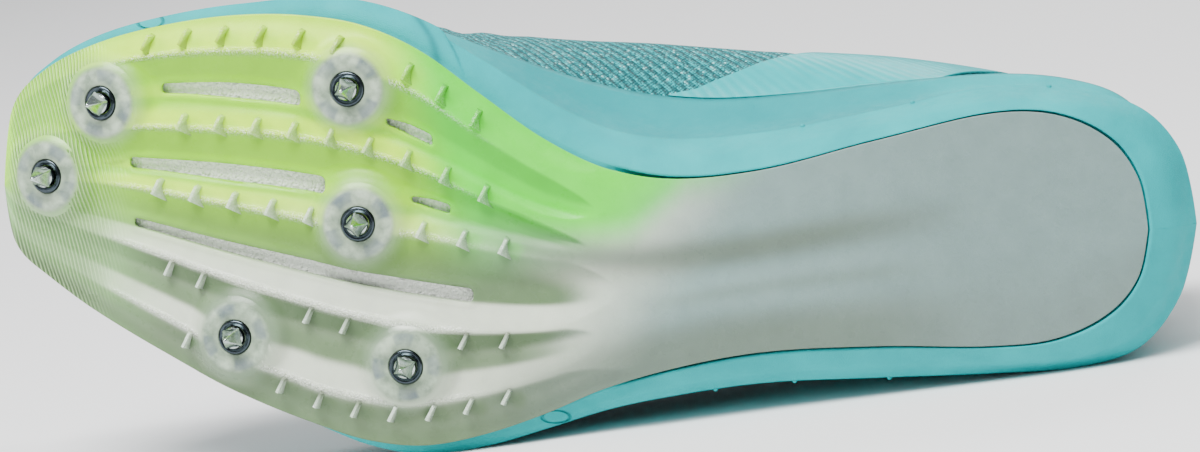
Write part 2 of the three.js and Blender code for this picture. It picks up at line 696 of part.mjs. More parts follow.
// A closed body through rings with flat ends
function capped(rings) {
  const points = rings.flat();
  const n = rings[0].length;
  const faces = [];
  for (let i = 0; i + 1 < rings.length; i++) {
    for (let j = 0; j < n; j++) {
      const [a, b] = [i * n + j, i * n + (j + 1) % n];
      faces.push([a, b, b + n], [a, b + n, a + n]);
    }
  }
  const last = (rings.length - 1) * n;
  for (let j = 0; j < n / 2 - 1; j++) {
    faces.push([j, n - 1 - j, j + 1], [j + 1, n - 1 - j, n - 2 - j]);
    faces.push([last + j, last + j + 1, last + n - 1 - j], [last + j + 1, last + n - 2 - j, last + n - 1 - j]);
  }
  return facedOut(cleaned(geometryFrom(points, faces)));
}

// Films bonded on the outside of the upper: a skin round the last, cut to each film's outline

function skin() {
  const form = cleaned(lastForm());
  form.computeVertexNormals();
  const position = form.attributes.position;
  const normal = form.attributes.normal;
  for (let i = 0; i < position.count; i++) {
    const p = new THREE.Vector3().fromBufferAttribute(position, i);
    p.addScaledVector(new THREE.Vector3().fromBufferAttribute(normal, i), fit + filmThickness);
    position.setXYZ(i, p.x, p.y, p.z);
  }
  return solid(shell(form, () => filmThickness));
}

// Saddle film, outlined from the side: low in front, climbing to the collar, ending before the heel
function saddleFilm(side) {
  const list = [0, 1, 2, 3, 4, 5, 6, 7, 8].map((i) => THREE.MathUtils.lerp(saddle.front, saddle.rear, i / 8));
  const onSide = (at, rise) => {
    const p = lastPoint(at, side, rise);
    return new THREE.Vector2(p.x, p.z);
  };
  const low = list.map((at) => onSide(at, 0.25));
  const high = list.map((at) => {
    const climb = THREE.MathUtils.clamp((at - saddle.front) / (saddle.full - saddle.front), 0, 1);
    const fall = 1 - smooth(at, 0.78, saddle.rear) * 0.5;
    return onSide(at, 0.40 + 1.35 * climb ** 0.9 * fall);
  });
  const outline = new THREE.ExtrudeGeometry(new THREE.Shape([...low, ...high.reverse()]), {
    depth: ballWidth, bevelEnabled: false,
  });
  outline.rotateX(Math.PI / 2).translate(0, side < 0 ? -0.02 * ballWidth : ballWidth * 1.02, 0);
  return geometryOf(skin().intersect(solid(outline)));
}

// Eyestay film, outlined from above: a U round the throat
const eyestayWidth = 9;
const eyestayHem = 1.2;

function eyestay() {
  const list = shares.filter((at) => at > throatAt && at < throatTopAt + 0.01);
  const edge = (side, grow) => list.map((at) => {
    const top = rail(at);
    return new THREE.Vector2(along(railSpan, at), ballWidth * (side < 0 ? top.inner : top.outer) + side * grow);
  });
  const tip = (grow) => new THREE.Vector2(along(railSpan, throatAt) - grow, ballWidth * rail(throatAt).inner);
  const shape = (grow) => new THREE.Shape([
    tip(grow * 1.1), new THREE.Vector2(tip(grow * 0.8).x, tip(0).y + grow * 0.55), ...edge(1, grow),
    ...edge(-1, grow).reverse(), new THREE.Vector2(tip(grow * 0.8).x, tip(0).y - grow * 0.55),
  ]);
  const cutter = (grow) => solid(new THREE.ExtrudeGeometry(shape(grow), {
    depth: instepHeight, bevelEnabled: false,
  }).translate(0, 0, instepHeight / 2));
  return geometryOf(skin().intersect(cutter(eyestayWidth)).subtract(cutter(eyestayHem)));
}

// Lace: bars from eyestay to eyestay

function laceBody() {
  const lift = filmThickness + 2 * fit + 0.5 * laceDiameter + 0.8;
  const rowAt = (i) => THREE.MathUtils.lerp(eyestayFrontAt + 0.012, throatTopAt - 0.010, i / (laceRows - 1));
  const section = new THREE.Shape([0, 1, 2, 3].map((k) => new THREE.Vector2(
    0.5 * laceDiameter * Math.cos(k * Math.PI / 2),
    0.5 * laceDiameter * Math.sin(k * Math.PI / 2),
  )));
  const strand = (from, to, arch) => {
    const [start, end] = [rowAt(from), rowAt(to)];
    const at = (f) => THREE.MathUtils.lerp(start, end, f);
    const middle = offsetPoint(at(0.5), -1, 2, lift).lerp(offsetPoint(at(0.5), 1, 2, lift), 0.5);
    middle.z += arch;
    const curve = new THREE.CatmullRomCurve3([
      offsetPoint(at(0), -1, 1.84, lift), offsetPoint(at(0.15), -1, 1.97, lift + 0.3), middle,
      offsetPoint(at(0.85), 1, 1.97, lift + 0.3), offsetPoint(at(1), 1, 1.84, lift),
    ]);
    return solid(new THREE.ExtrudeGeometry(section, { steps: 5, extrudePath: curve }));
  };
  let body = strand(0, 0, 0.6);
  for (let i = 0; i + 1 < laceRows; i++) {
    body = body.add(strand(i, i + 1, 1)).add(strand(i + 1, i, 1.2));
  }
  return geometryOf(body);
}

// Receptacle: a steel cup with a threaded bore; spike: a stud, a square flange and a blunt pyramid

const boreRadius = receptacleDiameter / 2 - 1.1;
const studDepth = receptacleDepth - 2.2;

function receptacle(x, y) {
  const [R, r, h] = [receptacleDiameter / 2, boreRadius, bossHeight + 0.25];
  const floor = h - receptacleDepth + fit;
  const profile = [[0, floor], [R, floor], [R, h - 0.3], [R - 0.3, h], [r + 0.3, h], [r, h - 0.3],
    [r, h - studDepth - 0.6], [0, h - studDepth - 0.6]].map(([a, b]) => new THREE.Vector2(a, b));
  return new THREE.LatheGeometry(profile, boreSides).rotateX(Math.PI / 2).applyMatrix4(underside(x, y));
}

function spike(x, y) {
  const h = bossHeight + 0.25;
  const r = boreRadius - fit;
  const w = spikeWidth / 2;
  const profile = [[0, h - studDepth], [r, h - studDepth], [r, h + fit], [w + 0.4, h + fit], [w + 0.4, h + 1],
    [w * 0.9, h + spikeLength * 0.5], [w * 0.3, h + spikeLength], [0, h + spikeLength]].map(([a, b]) => new THREE.Vector2(a, b));
  const body = solid(new THREE.LatheGeometry(profile, 12).rotateX(Math.PI / 2));
  const flat = (way) => {
    const block = new THREE.BoxGeometry(8, 8, spikeLength);
    block.translate(way * (4 + w * 0.74), 0, h + 1.1 + spikeLength / 2);
    return solid(block);
  };
  const cut = body.subtract(flat(1)).subtract(flat(-1));
  return geometryOf(cut).applyMatrix4(underside(x, y));
}

// Colours and finishes

// Density is in grams per cubic centimetre
function paint(color, roughness, density, metalness = 0) {
  const look = new THREE.MeshStandardMaterial({ color, roughness, metalness });
  look.userData.density = density;
  return look;
}

const looks = {
  plate: paint(0xd3ecb8, 0.25, 1.1), board: paint(0xf1f3ee, 0.9, 0.3), midsole: paint(0x7fd6d6, 0.7, 1.2),
  insole: paint(0x2d3436, 0.95, 0.3), upper: paint(0x6fb9bd, 0.85, 0.3), tongue: paint(0x63aeb3, 0.9, 0.3),
  film: paint(0x86dbdc, 0.4, 1.1), lace: paint(0xe9f2f0, 0.9, 0.3), receptacle: paint(0x2c3438, 0.3, 7.85, 1),
  spike: paint(0x59636a, 0.3, 7.85, 1),
};

const shoe = new THREE.Group();

function addPiece(name, geometry, look) {
  const piece = new THREE.Mesh(geometry, look);
  piece.name = name;
  shoe.add(piece);
}

addPiece('plate', plate(), looks.plate);
addPiece('board', board(), looks.board);
addPiece('midsole', midsole(), looks.midsole);
addPiece('insole', insole(), looks.insole);
addPiece('upper', upper(), looks.upper);
addPiece('tongue', tongue(), looks.tongue);
addPiece('saddle_inner', saddleFilm(-1), looks.film);
addPiece('saddle_outer', saddleFilm(1), looks.film);
addPiece('eyestay', eyestay(), looks.film);
addPiece('lace', laceBody(), looks.lace);
spikePlaces.forEach(({ x, y }, i) => {
  addPiece('receptacle_' + (i + 1), receptacle(x * soleLength, y * ballWidth), looks.receptacle);
  addPiece('spike_' + (i + 1), spike(x * soleLength, y * ballWidth), looks.spike);
});

// Lying down: the sole looks to -Y, the toe points to -X and the outer side is underneath.
// The shoe then rolls onto the facet of its hull that lies under its centre of mass.

function massCentre(group) {
  const total = new THREE.Vector3();
  let mass = 0;
  const [a, b, c] = [new THREE.Vector3(), new THREE.Vector3(), new THREE.Vector3()];
  group.children.forEach(({ geometry, material }) => {
    const p = geometry.attributes.position;
    const index = geometry.index.array;
    const { density } = material.userData;
    for (let i = 0; i < index.length; i += 3) {
      a.fromBufferAttribute(p, index[i]);
      b.fromBufferAttribute(p, index[i + 1]);
      c.fromBufferAttribute(p, index[i + 2]);
      const share = density * a.dot(new THREE.Vector3().crossVectors(b, c)) / 6;
      total.addScaledVector(a.add(b).add(c), share / 4);
      mass += share;
    }
  });
  return total.divideScalar(mass);
}

// Whether a hull face has the mass centre straight above it when it lies on the floor
function carries(face, centre) {
  const foot = centre.clone().addScaledVector(face.normal, -face.distanceToPoint(centre));
  let edge = face.edge;
  do {
    const side = new THREE.Vector3().subVectors(edge.head().point, edge.tail().point);
    const toFoot = new THREE.Vector3().subVectors(foot, edge.tail().point);
    if (side.cross(toFoot).dot(face.normal) < 0) return false;
    edge = edge.next;
  } while (edge !== face.edge);
  return true;
}

function restingSide(group) {
  const points = [];
  group.children.forEach(({ geometry }) => {
    const p = geometry.attributes.position;
    for (let i = 0; i < p.count; i++) points.push(new THREE.Vector3().fromBufferAttribute(p, i));
  });
  const hull = new ConvexHull().setFromPoints(points);
  const centre = massCentre(group);
  const outward = new THREE.Vector3(0.1, 0.96, 0.25).normalize();
  const found = hull.faces.filter((face) => carries(face, centre));
  found.sort((a, b) => b.normal.dot(outward) - a.normal.dot(outward));
  return found[0].normal.clone();
}

const down = restingSide(shoe);
const base = new THREE.Quaternion().setFromRotationMatrix(new THREE.Matrix4().makeBasis(
  new THREE.Vector3(1, 0, 0), new THREE.Vector3(0, 0, -1), new THREE.Vector3(0, 1, 0)));
const downNow = down.clone().applyQuaternion(base);
const roll = new THREE.Quaternion().setFromUnitVectors(downNow, new THREE.Vector3(0, 0, -1));
shoe.quaternion.copy(roll.multiply(base));
shoe.updateMatrixWorld(true);
const box = new THREE.Box3().setFromObject(shoe, true);
const centre = box.getCenter(new THREE.Vector3());
shoe.position.set(-centre.x, -centre.y, -box.min.z);

const part = new THREE.Group();
part.add(shoe);
export default part;
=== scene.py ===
import math

import bmesh
import bpy
import numpy as np
from mathutils import Matrix, Vector


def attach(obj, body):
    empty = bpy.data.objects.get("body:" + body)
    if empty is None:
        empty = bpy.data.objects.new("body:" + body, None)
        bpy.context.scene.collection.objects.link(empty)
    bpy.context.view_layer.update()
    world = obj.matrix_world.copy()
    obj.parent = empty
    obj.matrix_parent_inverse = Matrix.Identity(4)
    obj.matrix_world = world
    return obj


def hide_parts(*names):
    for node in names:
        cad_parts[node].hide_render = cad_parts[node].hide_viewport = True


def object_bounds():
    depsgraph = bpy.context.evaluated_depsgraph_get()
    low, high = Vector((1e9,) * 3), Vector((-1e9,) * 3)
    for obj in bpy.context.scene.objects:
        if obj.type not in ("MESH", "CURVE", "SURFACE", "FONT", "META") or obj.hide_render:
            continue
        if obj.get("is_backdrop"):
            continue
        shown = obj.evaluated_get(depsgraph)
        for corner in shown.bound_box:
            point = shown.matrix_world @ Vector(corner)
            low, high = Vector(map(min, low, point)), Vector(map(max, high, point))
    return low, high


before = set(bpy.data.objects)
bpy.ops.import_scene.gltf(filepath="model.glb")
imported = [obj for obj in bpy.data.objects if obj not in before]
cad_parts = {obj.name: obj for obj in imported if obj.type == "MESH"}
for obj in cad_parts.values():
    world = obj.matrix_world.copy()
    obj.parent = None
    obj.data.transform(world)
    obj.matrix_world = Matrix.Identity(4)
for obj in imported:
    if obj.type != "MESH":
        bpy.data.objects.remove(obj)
cad_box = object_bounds()
bpy.ops.object.select_all(action="DESELECT")

# The spike plate: one moulding of clear plastic, glued under the foam from toe to heel.
# It is ribbed along the forefoot, thin and flat behind, with five windows, six bosses
# for the spikes and rows of small fins. Sizes are in shoe millimetres: x from toe to
# heel, y from the inner to the outer side, z from the plate to the collar.
sole_length = 287
ball_width = 103
toe_spring = 24
plate_thickness = 1.6
rib_depth = 1.9
edge_curl = 1.8

rocker_rows = [
    (0.000, 1.000), (0.035, 0.840), (0.087, 0.620), (0.139, 0.430), (0.209, 0.230), (0.279, 0.092),
    (0.348, 0.025), (0.401, 0.000), (0.488, 0.025), (0.592, 0.075), (0.697, 0.133), (0.801, 0.192),
    (0.906, 0.258), (1.000, 0.330)]
plate_edge_rows = [
    (0.000, -0.080, -0.080), (0.009, -0.258, 0.050), (0.041, -0.355, 0.134), (0.086, -0.415, 0.214),
    (0.143, -0.459, 0.295), (0.218, -0.490, 0.392), (0.279, -0.491, 0.452), (0.331, -0.469, 0.493),
    (0.381, -0.411, 0.503), (0.434, -0.309, 0.475), (0.485, -0.212, 0.428), (0.536, -0.145, 0.369),
    (0.587, -0.117, 0.326), (0.664, -0.131, 0.285), (0.766, -0.198, 0.270), (0.867, -0.260, 0.271),
    (0.918, -0.259, 0.257), (0.968, -0.199, 0.194), (0.992, -0.110, 0.113), (1.000, 0.005, 0.005)]
plate_span = (0.000, 0.960)
heel_flat = (0.70, 0.92)

# Crest and trough lines of the ribs: share of the plate's width at four places of the length
rib_places = (0.07, 0.28, 0.49, 0.66)
rib_lines = [
    (1, 0.040, 0.055, 0.090, 0.10), (0, 0.180, 0.205, 0.220, 0.18), (1, 0.290, 0.280, 0.285, 0.25),
    (0, 0.430, 0.405, 0.340, 0.31), (1, 0.490, 0.482, 0.400, 0.36), (0, 0.620, 0.612, 0.580, 0.51),
    (1, 0.720, 0.732, 0.715, 0.69), (0, 0.820, 0.840, 0.800, 0.77), (1, 0.900, 0.933, 0.885, 0.85)]

# Corners of the rib profile: the rib line that each goes by, its offset, height and roundness
rib_corners = [
    (None, 0.000, 0.62, 0.010), (0, -0.010, 0.96, 0.012), (0, 0.042, 1.00, 0.006), (1, -0.030, 0.06, 0.016),
    (1, 0.028, 0.00, 0.010), (2, -0.022, 0.88, 0.012), (2, 0.018, 1.00, 0.005), (3, -0.040, 0.10, 0.018),
    (3, 0.026, 0.00, 0.010), (4, -0.026, 0.88, 0.014), (4, 0.014, 1.00, 0.006), (5, -0.045, 0.10, 0.020),
    (5, 0.022, 0.02, 0.014), (6, -0.030, 1.00, 0.006), (6, 0.030, 0.30, 0.014), (7, -0.010, 0.24, 0.020),
    (8, -0.030, 1.00, 0.006), (8, 0.035, 0.42, 0.014), (None, 1.000, 0.34, 0.010)]

# Windows: rib line, start and end along the sole, width
windows = [
    (1, 0.145, 0.266, 0.036), (3, 0.115, 0.286, 0.040), (5, 0.118, 0.408, 0.032),
    (1, 0.338, 0.376, 0.026), (3, 0.358, 0.390, 0.022)]
spike_places = [(0.095, -0.284), (0.044, -0.108), (0.308, -0.326), (0.315, -0.016), (0.209, 0.252),
                (0.353, 0.313)]
fin_runs = [
    (0, 0.134, 0.298, 6), (0, 0.356, 0.412, 3), (2, 0.164, 0.418, 9), (4, 0.141, 0.272, 5),
    (4, 0.366, 0.434, 3), (6, 0.150, 0.178, 2), (6, 0.270, 0.301, 2), (6, 0.400, 0.434, 2),
    (8, 0.165, 0.165, 1), (8, 0.246, 0.435, 7)]

# The shoe lies on its outer side: shoe millimetres to metres on the floor
lie_down = np.array([
    [0.991743, -0.128210, -0.002714, -142.750944],
    [-0.002714, -0.042142, 0.999108, -39.517445],
    [-0.128210, -0.990851, -0.042142, 67.888147]])


def laid(points):
    points = np.asarray(points, float)
    return (points @ lie_down[:, :3].T + lie_down[:, 3]) / 1000


def drawn_line(rows):
    """A smooth line through the rows, which crowd together at both ends."""
    rows = np.array(rows, float)
    place = np.arccos(1 - 2 * rows[:, 0])
    value = rows[:, 1:]
    last = len(place) - 1

    def at(share):
        t = np.arccos(1 - 2 * np.clip(np.asarray(share, float), 0, 1))
        k = np.clip(np.searchsorted(place, t, side="right"), 1, last)
        t0, t1 = place[k - 1], place[k]
        start = k == 1
        end = k == last
        before = np.where(start, 2 * t0 - t1, place[np.maximum(k - 2, 0)])
        after = np.where(end, 2 * t1 - t0, place[np.minimum(k + 1, last)])
        half = (t1 - t0) / 2
        w0, w1 = half / (t0 - before), half / (after - t1)
        p = (t - t0) / (t1 - t0)
        shares = (-w0 * p**3 + 2 * w0 * p**2 - w0 * p,
                  (1 + w0) * p**3 - (1.5 + 2 * w0) * p**2 + (w0 - 0.5) * p + 1,
                  -(1 + w1) * p**3 + (1.5 + w1) * p**2 + 0.5 * p,
                  w1 * (p**3 - p**2))
        picks = (np.where(start, k, k - 2), k - 1, k, np.where(end, k - 1, k + 1))
        return sum(s[..., None] * value[np.clip(i, 0, last)] for s, i in zip(shares, picks))

    return at


def ease(value, low, high):
    t = np.clip((np.asarray(value, float) - low) / (high - low), 0, 1)
    return t * t * (3 - 2 * t)


def mixed(a, b, t):
    return a + (b - a) * t


def even_ends(count):
    """Shares from 0 to 1, close together at both ends."""
    return 0.5 - 0.5 * np.cos(np.pi * np.arange(count + 1) / count)


rocker = drawn_line(rocker_rows)
plate_edge = drawn_line(plate_edge_rows)


def ground(x):
    """Height of the sole's underside."""
    place = np.asarray(x, float) / sole_length
    front, rear = (rocker(np.array(v))[0] for v in heel_flat)
    flat = front + (rear - front) * (place - heel_flat[0]) / (heel_flat[1] - heel_flat[0])
    return toe_spring * np.where(place < heel_flat[0], rocker(place)[..., 0], flat)


def curl(share, x):
    out = np.abs(share - 0.5) * 2
    place = x / sole_length
    return edge_curl * ease(out, 0.82, 1) * ease(place, 0, 0.06) * (1 - ease(place, 0.40, 0.62))


def rib_strength(x):
    place = x / sole_length
    return ease(place, 0.02, 0.11) * (1 - ease(place, 0.43, 0.66))


def arch_relief(x):
    """The ribs run on, shallow, under the arch."""
    place = x / sole_length
    return ease(place, 0.42, 0.56) * (1 - ease(place, 0.60, 0.88))


def rib_share(line, x):
    return np.interp(x / sole_length, rib_places, line[1:])


def across(share, x):
    edge = plate_edge((x / sole_length - plate_span[0]) / (plate_span[1] - plate_span[0]))
    return ball_width * mixed(edge[..., 0], edge[..., 1], share)


def share_across(x, y):
    edge = plate_edge((x / sole_length - plate_span[0]) / (plate_span[1] - plate_span[0])) * ball_width
    wide = np.maximum(edge[..., 1] - edge[..., 0], 0.01)
    return np.clip((y - edge[..., 0]) / wide, 0, 1)


def crest_at(share, x):
    """1 on the ribs' crests and 0 in the troughs, with each corner rounded."""
    x = np.broadcast_to(x, np.shape(share))
    places = [np.full(x.shape, move) if line is None else rib_share(rib_lines[line], x) + move
              for line, move, _, _ in rib_corners]
    for i in range(1, len(places)):
        places[i] = np.maximum(places[i], places[i - 1] + 0.012)
    heights = [corner[2] for corner in rib_corners]
    slopes = [(heights[i + 1] - heights[i]) / (places[i + 1] - places[i])
              for i in range(len(places) - 1)]
    height = heights[0] + slopes[0] * share
    softer = 1 + 7 * ease(x / sole_length, 0.44, 0.60)
    for i in range(1, len(slopes)):
        off = share - places[i]
        height = height + (slopes[i] - slopes[i - 1]) * (off
                                                         + np.sqrt(off**2
                                                                   + (rib_corners[i][3] * softer)**2)) / 2
    return np.clip(height, -0.1, 1.05)


def window_taper(f):
    """A window is narrower towards the toe."""
    return 0.66 + 0.34 * ease(f, 0, 0.6)


def window_gap(window, x, y):
    """Distance outside a window's outline, less than 0 inside it."""
    rib, start, end, width = window
    half = width * ball_width / 2
    f = np.clip((x / sole_length - start) / (end - start), 0, 1)
    line = across(rib_share(rib_lines[rib], x), x)
    reach = half * window_taper(f)
    corner = 0.75 * reach
    over_x = np.abs(x - (start + end) / 2 * sole_length) - (end - start) / 2 * sole_length + corner
    over_y = np.abs(y - line) - reach + corner
    outside = np.hypot(np.maximum(over_x, 0), np.maximum(over_y, 0))
    return outside + np.minimum(np.maximum(over_x, over_y), 0) - corner


def from_boss(x, y):
    """Distance from the nearest boss's middle."""
    gaps = [np.hypot(x - place * sole_length + 0.5 * (place < 0.1), y - off * ball_width) for place,
            off in spike_places]
    return np.minimum.reduce(gaps)


def underside(x, share, bosses=True):
    y = across(share, x)
    sunk = 1 - crest_at(share, x)
    z = ground(x) + curl(share, x) + rib_depth * sunk * rib_strength(x) + 1.0 * (sunk - 0.45) * arch_relief(x)
    # a rounded lip stands round each window
    for window in windows:
        gap = window_gap(window, x, y)
        z = z - 0.40 * np.exp(-((gap - 0.8) / 0.6) ** 2)
    if not bosses:
        return z
    # the surface flares up round each boss
    gap = from_boss(x, y)
    rise = 1.0 * ease(gap, 7.6, 9.4) + 2.9 * ease(gap, 9.0, 14.2)
    flare = ground(x) + curl(share, x) - 2.6 + rise + 0.9 * (1 - ease(gap, 7.2, 8.4)) + 40 * (gap > 14.6)
    low, high = np.minimum(z, flare), np.maximum(z, flare)
    return low - 0.25 * np.exp(-(high - low) / 0.45)


def surface_piece(name, points, rows, cols, closed=False):
    """A mesh from a grid of shoe points, listed row by row."""
    faces = []
    for i in range(rows - 1):
        for j in range(cols if closed else cols - 1):
            a, b = i * cols + j, i * cols + (j + 1) % cols
            faces.append((a, b, b + cols, a + cols))
    mesh = bpy.data.meshes.new(name)
    mesh.from_pydata(laid(points).tolist(), [], faces)
    mesh.polygons.foreach_set("use_smooth", [True] * len(mesh.polygons))
    piece = bpy.data.objects.new(name, mesh)
    bpy.context.scene.collection.objects.link(piece)
    return piece


def take_hold(piece):
    bpy.ops.object.select_all(action="DESELECT")
    piece.select_set(True)
    bpy.context.view_layer.objects.active = piece


def joined(pieces, name):
    bpy.ops.object.select_all(action="DESELECT")
    for piece in pieces:
        piece.select_set(True)
    bpy.context.view_layer.objects.active = pieces[0]
    bpy.ops.object.join()
    piece = bpy.context.object
    piece.name = piece.data.name = name
    return piece


def turn_faces_out(piece, merge=0.00001):
    take_hold(piece)
    bpy.ops.object.mode_set(mode="EDIT")
    bpy.ops.mesh.select_all(action="SELECT")
    bpy.ops.mesh.remove_doubles(threshold=merge)
    bpy.ops.mesh.normals_make_consistent(inside=False)
    bpy.ops.object.mode_set(mode="OBJECT")


def shape_with(piece, kind, **settings):
    """Adds one modifier and applies it."""
    take_hold(piece)
    tool = piece.modifiers.new(kind.title(), kind)
    for name, value in settings.items():
        setattr(tool, name, value)
    bpy.ops.object.modifier_apply(modifier=tool.name)


def record_shoe_place(piece):
    """Keeps each point's place on the shoe as an attribute, in centimetres, for the materials."""
    mesh = piece.data
    spots = np.empty(len(mesh.vertices) * 3)
    mesh.vertices.foreach_get("co", spots)
    spots = spots.reshape(-1, 3) * 1000 - lie_down[:, 3]
    spots = spots @ np.linalg.inv(lie_down[:, :3]).T / 10
    layer = mesh.attributes.new("shoe_place", "FLOAT_VECTOR", "POINT")
    layer.data.foreach_set("vector", spots.ravel())
    return spots * 10


def keep_value(piece, name, values):
    layer = piece.data.attributes.new(name, "FLOAT", "POINT")
    layer.data.foreach_set("value", np.asarray(values, float))


def plate_places():
    """Close together over the ribs, wider apart under the arch and heel."""
    toe = 6 * (1 - np.cos(np.pi / 2 * np.arange(21) / 20))
    heel = 264 + 11.52 * np.sin(np.pi / 2 * np.arange(25) / 24)
    return np.unique(np.concatenate([toe, np.arange(6.5, 13, 0.5), np.arange(13, 152, 0.9),
                                     np.arange(152, 264, 2), heel]))


plate_x = plate_places()
plate_steps = 170
plate_across = np.concatenate([[0], np.linspace(0.004, 0.996, plate_steps - 1), [1]])
grid_x, grid_share = np.meshgrid(plate_x, plate_across, indexing="ij")
low = np.stack([grid_x, across(grid_share, grid_x), underside(grid_x, grid_share)], -1)
rows, cols = grid_x.shape
plate = surface_piece("spike_plate", low.reshape(-1, 3), rows, cols)
turn_faces_out(plate)
# the moulding's outer face looks down the shoe's z axis
down_z = laid([[0, 0, -1]])[0] - laid([[0, 0, 0]])[0]
if Vector(down_z).dot(plate.data.polygons[len(plate.data.polygons) // 2].normal) < 0:
    plate.data.flip_normals()
shape_with(plate, "SOLIDIFY", thickness=plate_thickness / 1000, offset=-1, use_even_offset=False)


def window_cutter(window):
    rib, start, end, width = window
    half = width * ball_width / 2
    f = (1 - np.cos(np.pi * np.arange(61) / 60)) / 2
    x = mixed(start, end, f) * sole_length
    line = across(rib_share(rib_lines[rib], x), x)
    reach = half * window_taper(f)
    corner = 0.75 * reach
    past = np.maximum(0, corner - np.minimum(f, 1 - f) * (end - start) * sole_length)
    reach = reach - corner + np.sqrt(np.maximum(corner**2 - past**2, 0))
    loop = np.concatenate([np.stack([x, line + reach], -1), np.stack([x, line - reach], -1)[::-1]])
    n = len(loop)
    points = np.concatenate([np.c_[loop, np.full(n, -12.0)], np.c_[loop, np.full(n, 40.0)]])
    sides = [(i, (i + 1) % n, n + (i + 1) % n, n + i) for i in range(n)]
    mesh = bpy.data.meshes.new("window_cutter")
    mesh.from_pydata(laid(points).tolist(), [], sides + [tuple(range(n))[::-1], tuple(range(n, 2 * n))])
    cutter = bpy.data.objects.new("window_cutter", mesh)
    bpy.context.scene.collection.objects.link(cutter)
    turn_faces_out(cutter)
    return cutter


for window in windows:
    cutter = window_cutter(window)
    shape_with(plate, "BOOLEAN", operation="DIFFERENCE", object=cutter, solver="EXACT")
    bpy.data.objects.remove(cutter)


def on_underside(x, y):
    """Turned frame on the plate's underside: its z points out of the sole."""
    slope = math.atan2(float(ground(x + 1)) - float(ground(x - 1)), 2)
    share = float(share_across(np.array(x), np.array(y)))
    z = float(ground(x)) + float(curl(np.array(share), np.array(x)))
    turn = Matrix.Rotation(math.pi, 4, "X") @ Matrix.Rotation(slope, 4, "Y")
    return Matrix.Translation((x, y, z)) @ turn


shoe_to_floor = Matrix.Scale(0.001, 4) @ Matrix([*[list(row) for row in lie_down], [0, 0, 0, 1]])


def settle(piece, place):
    """Puts a piece that was shaped at the origin, in millimetres, at its place on the shoe."""
    piece.data.transform(shoe_to_floor @ place)
    piece.data.update()
    return piece


def turned(name, profile, steps=64):
    """A round piece spun from its half profile, given as radius and height."""
    bpy.ops.object.select_all(action="DESELECT")
    bpy.ops.mesh.primitive_plane_add(size=1)
    piece = bpy.context.object
    piece.name = piece.data.name = name
    shape = bmesh.new()
    line = [shape.verts.new((r, 0, h)) for r, h in profile]
    edges = [shape.edges.new(pair) for pair in zip(line, line[1:])]
    bmesh.ops.spin(shape, geom=line + edges, axis=(0, 0, 1), cent=(0, 0, 0), steps=steps, angle=2 * math.pi,
                   use_merge=True)
    bmesh.ops.remove_doubles(shape, verts=shape.verts, dist=1e-5)
    bmesh.ops.recalc_face_normals(shape, faces=shape.faces)
    shape.to_mesh(piece.data)
    shape.free()
    bpy.ops.object.shade_smooth_by_angle(angle=math.radians(35))
    return piece


def blend(a, b, t):
    return a + (b - a) * np.asarray(t)[..., None]


lime, pale_lime = np.array([0.26, 0.63, 0.0006]), np.array([0.56, 0.95, 0.008])
leaf, pale_leaf, toe_green = np.array([0.055, 0.66, 0.008]), np.array([0.09, 0.74,
                                                                       0.025]), np.array([0.38, 0.86, 0.05])
sage, milk, toe_milk = np.array([0.112, 0.185, 0.085]), np.array([0.60, 0.66,
                                                                  0.53]), np.array([0.25, 0.50, 0.17])
arch_grey, arch_shade = np.array([0.185, 0.275, 0.262]), np.array([0.100, 0.135, 0.105])
heel_grey, heel_low = np.array([0.168, 0.246, 0.235]), np.array([0.140, 0.190, 0.172])
clear_white = np.array([0.885, 0.94, 0.84])


def fin_spots():
    for line, start, end, count in fin_runs:
        for i in range(count):
            x = mixed(start, end, i / max(count - 1, 1)) * sole_length
            share = float(rib_share(rib_lines[line], x))
            yield x, float(across(np.array(share), np.array(x))), share, line


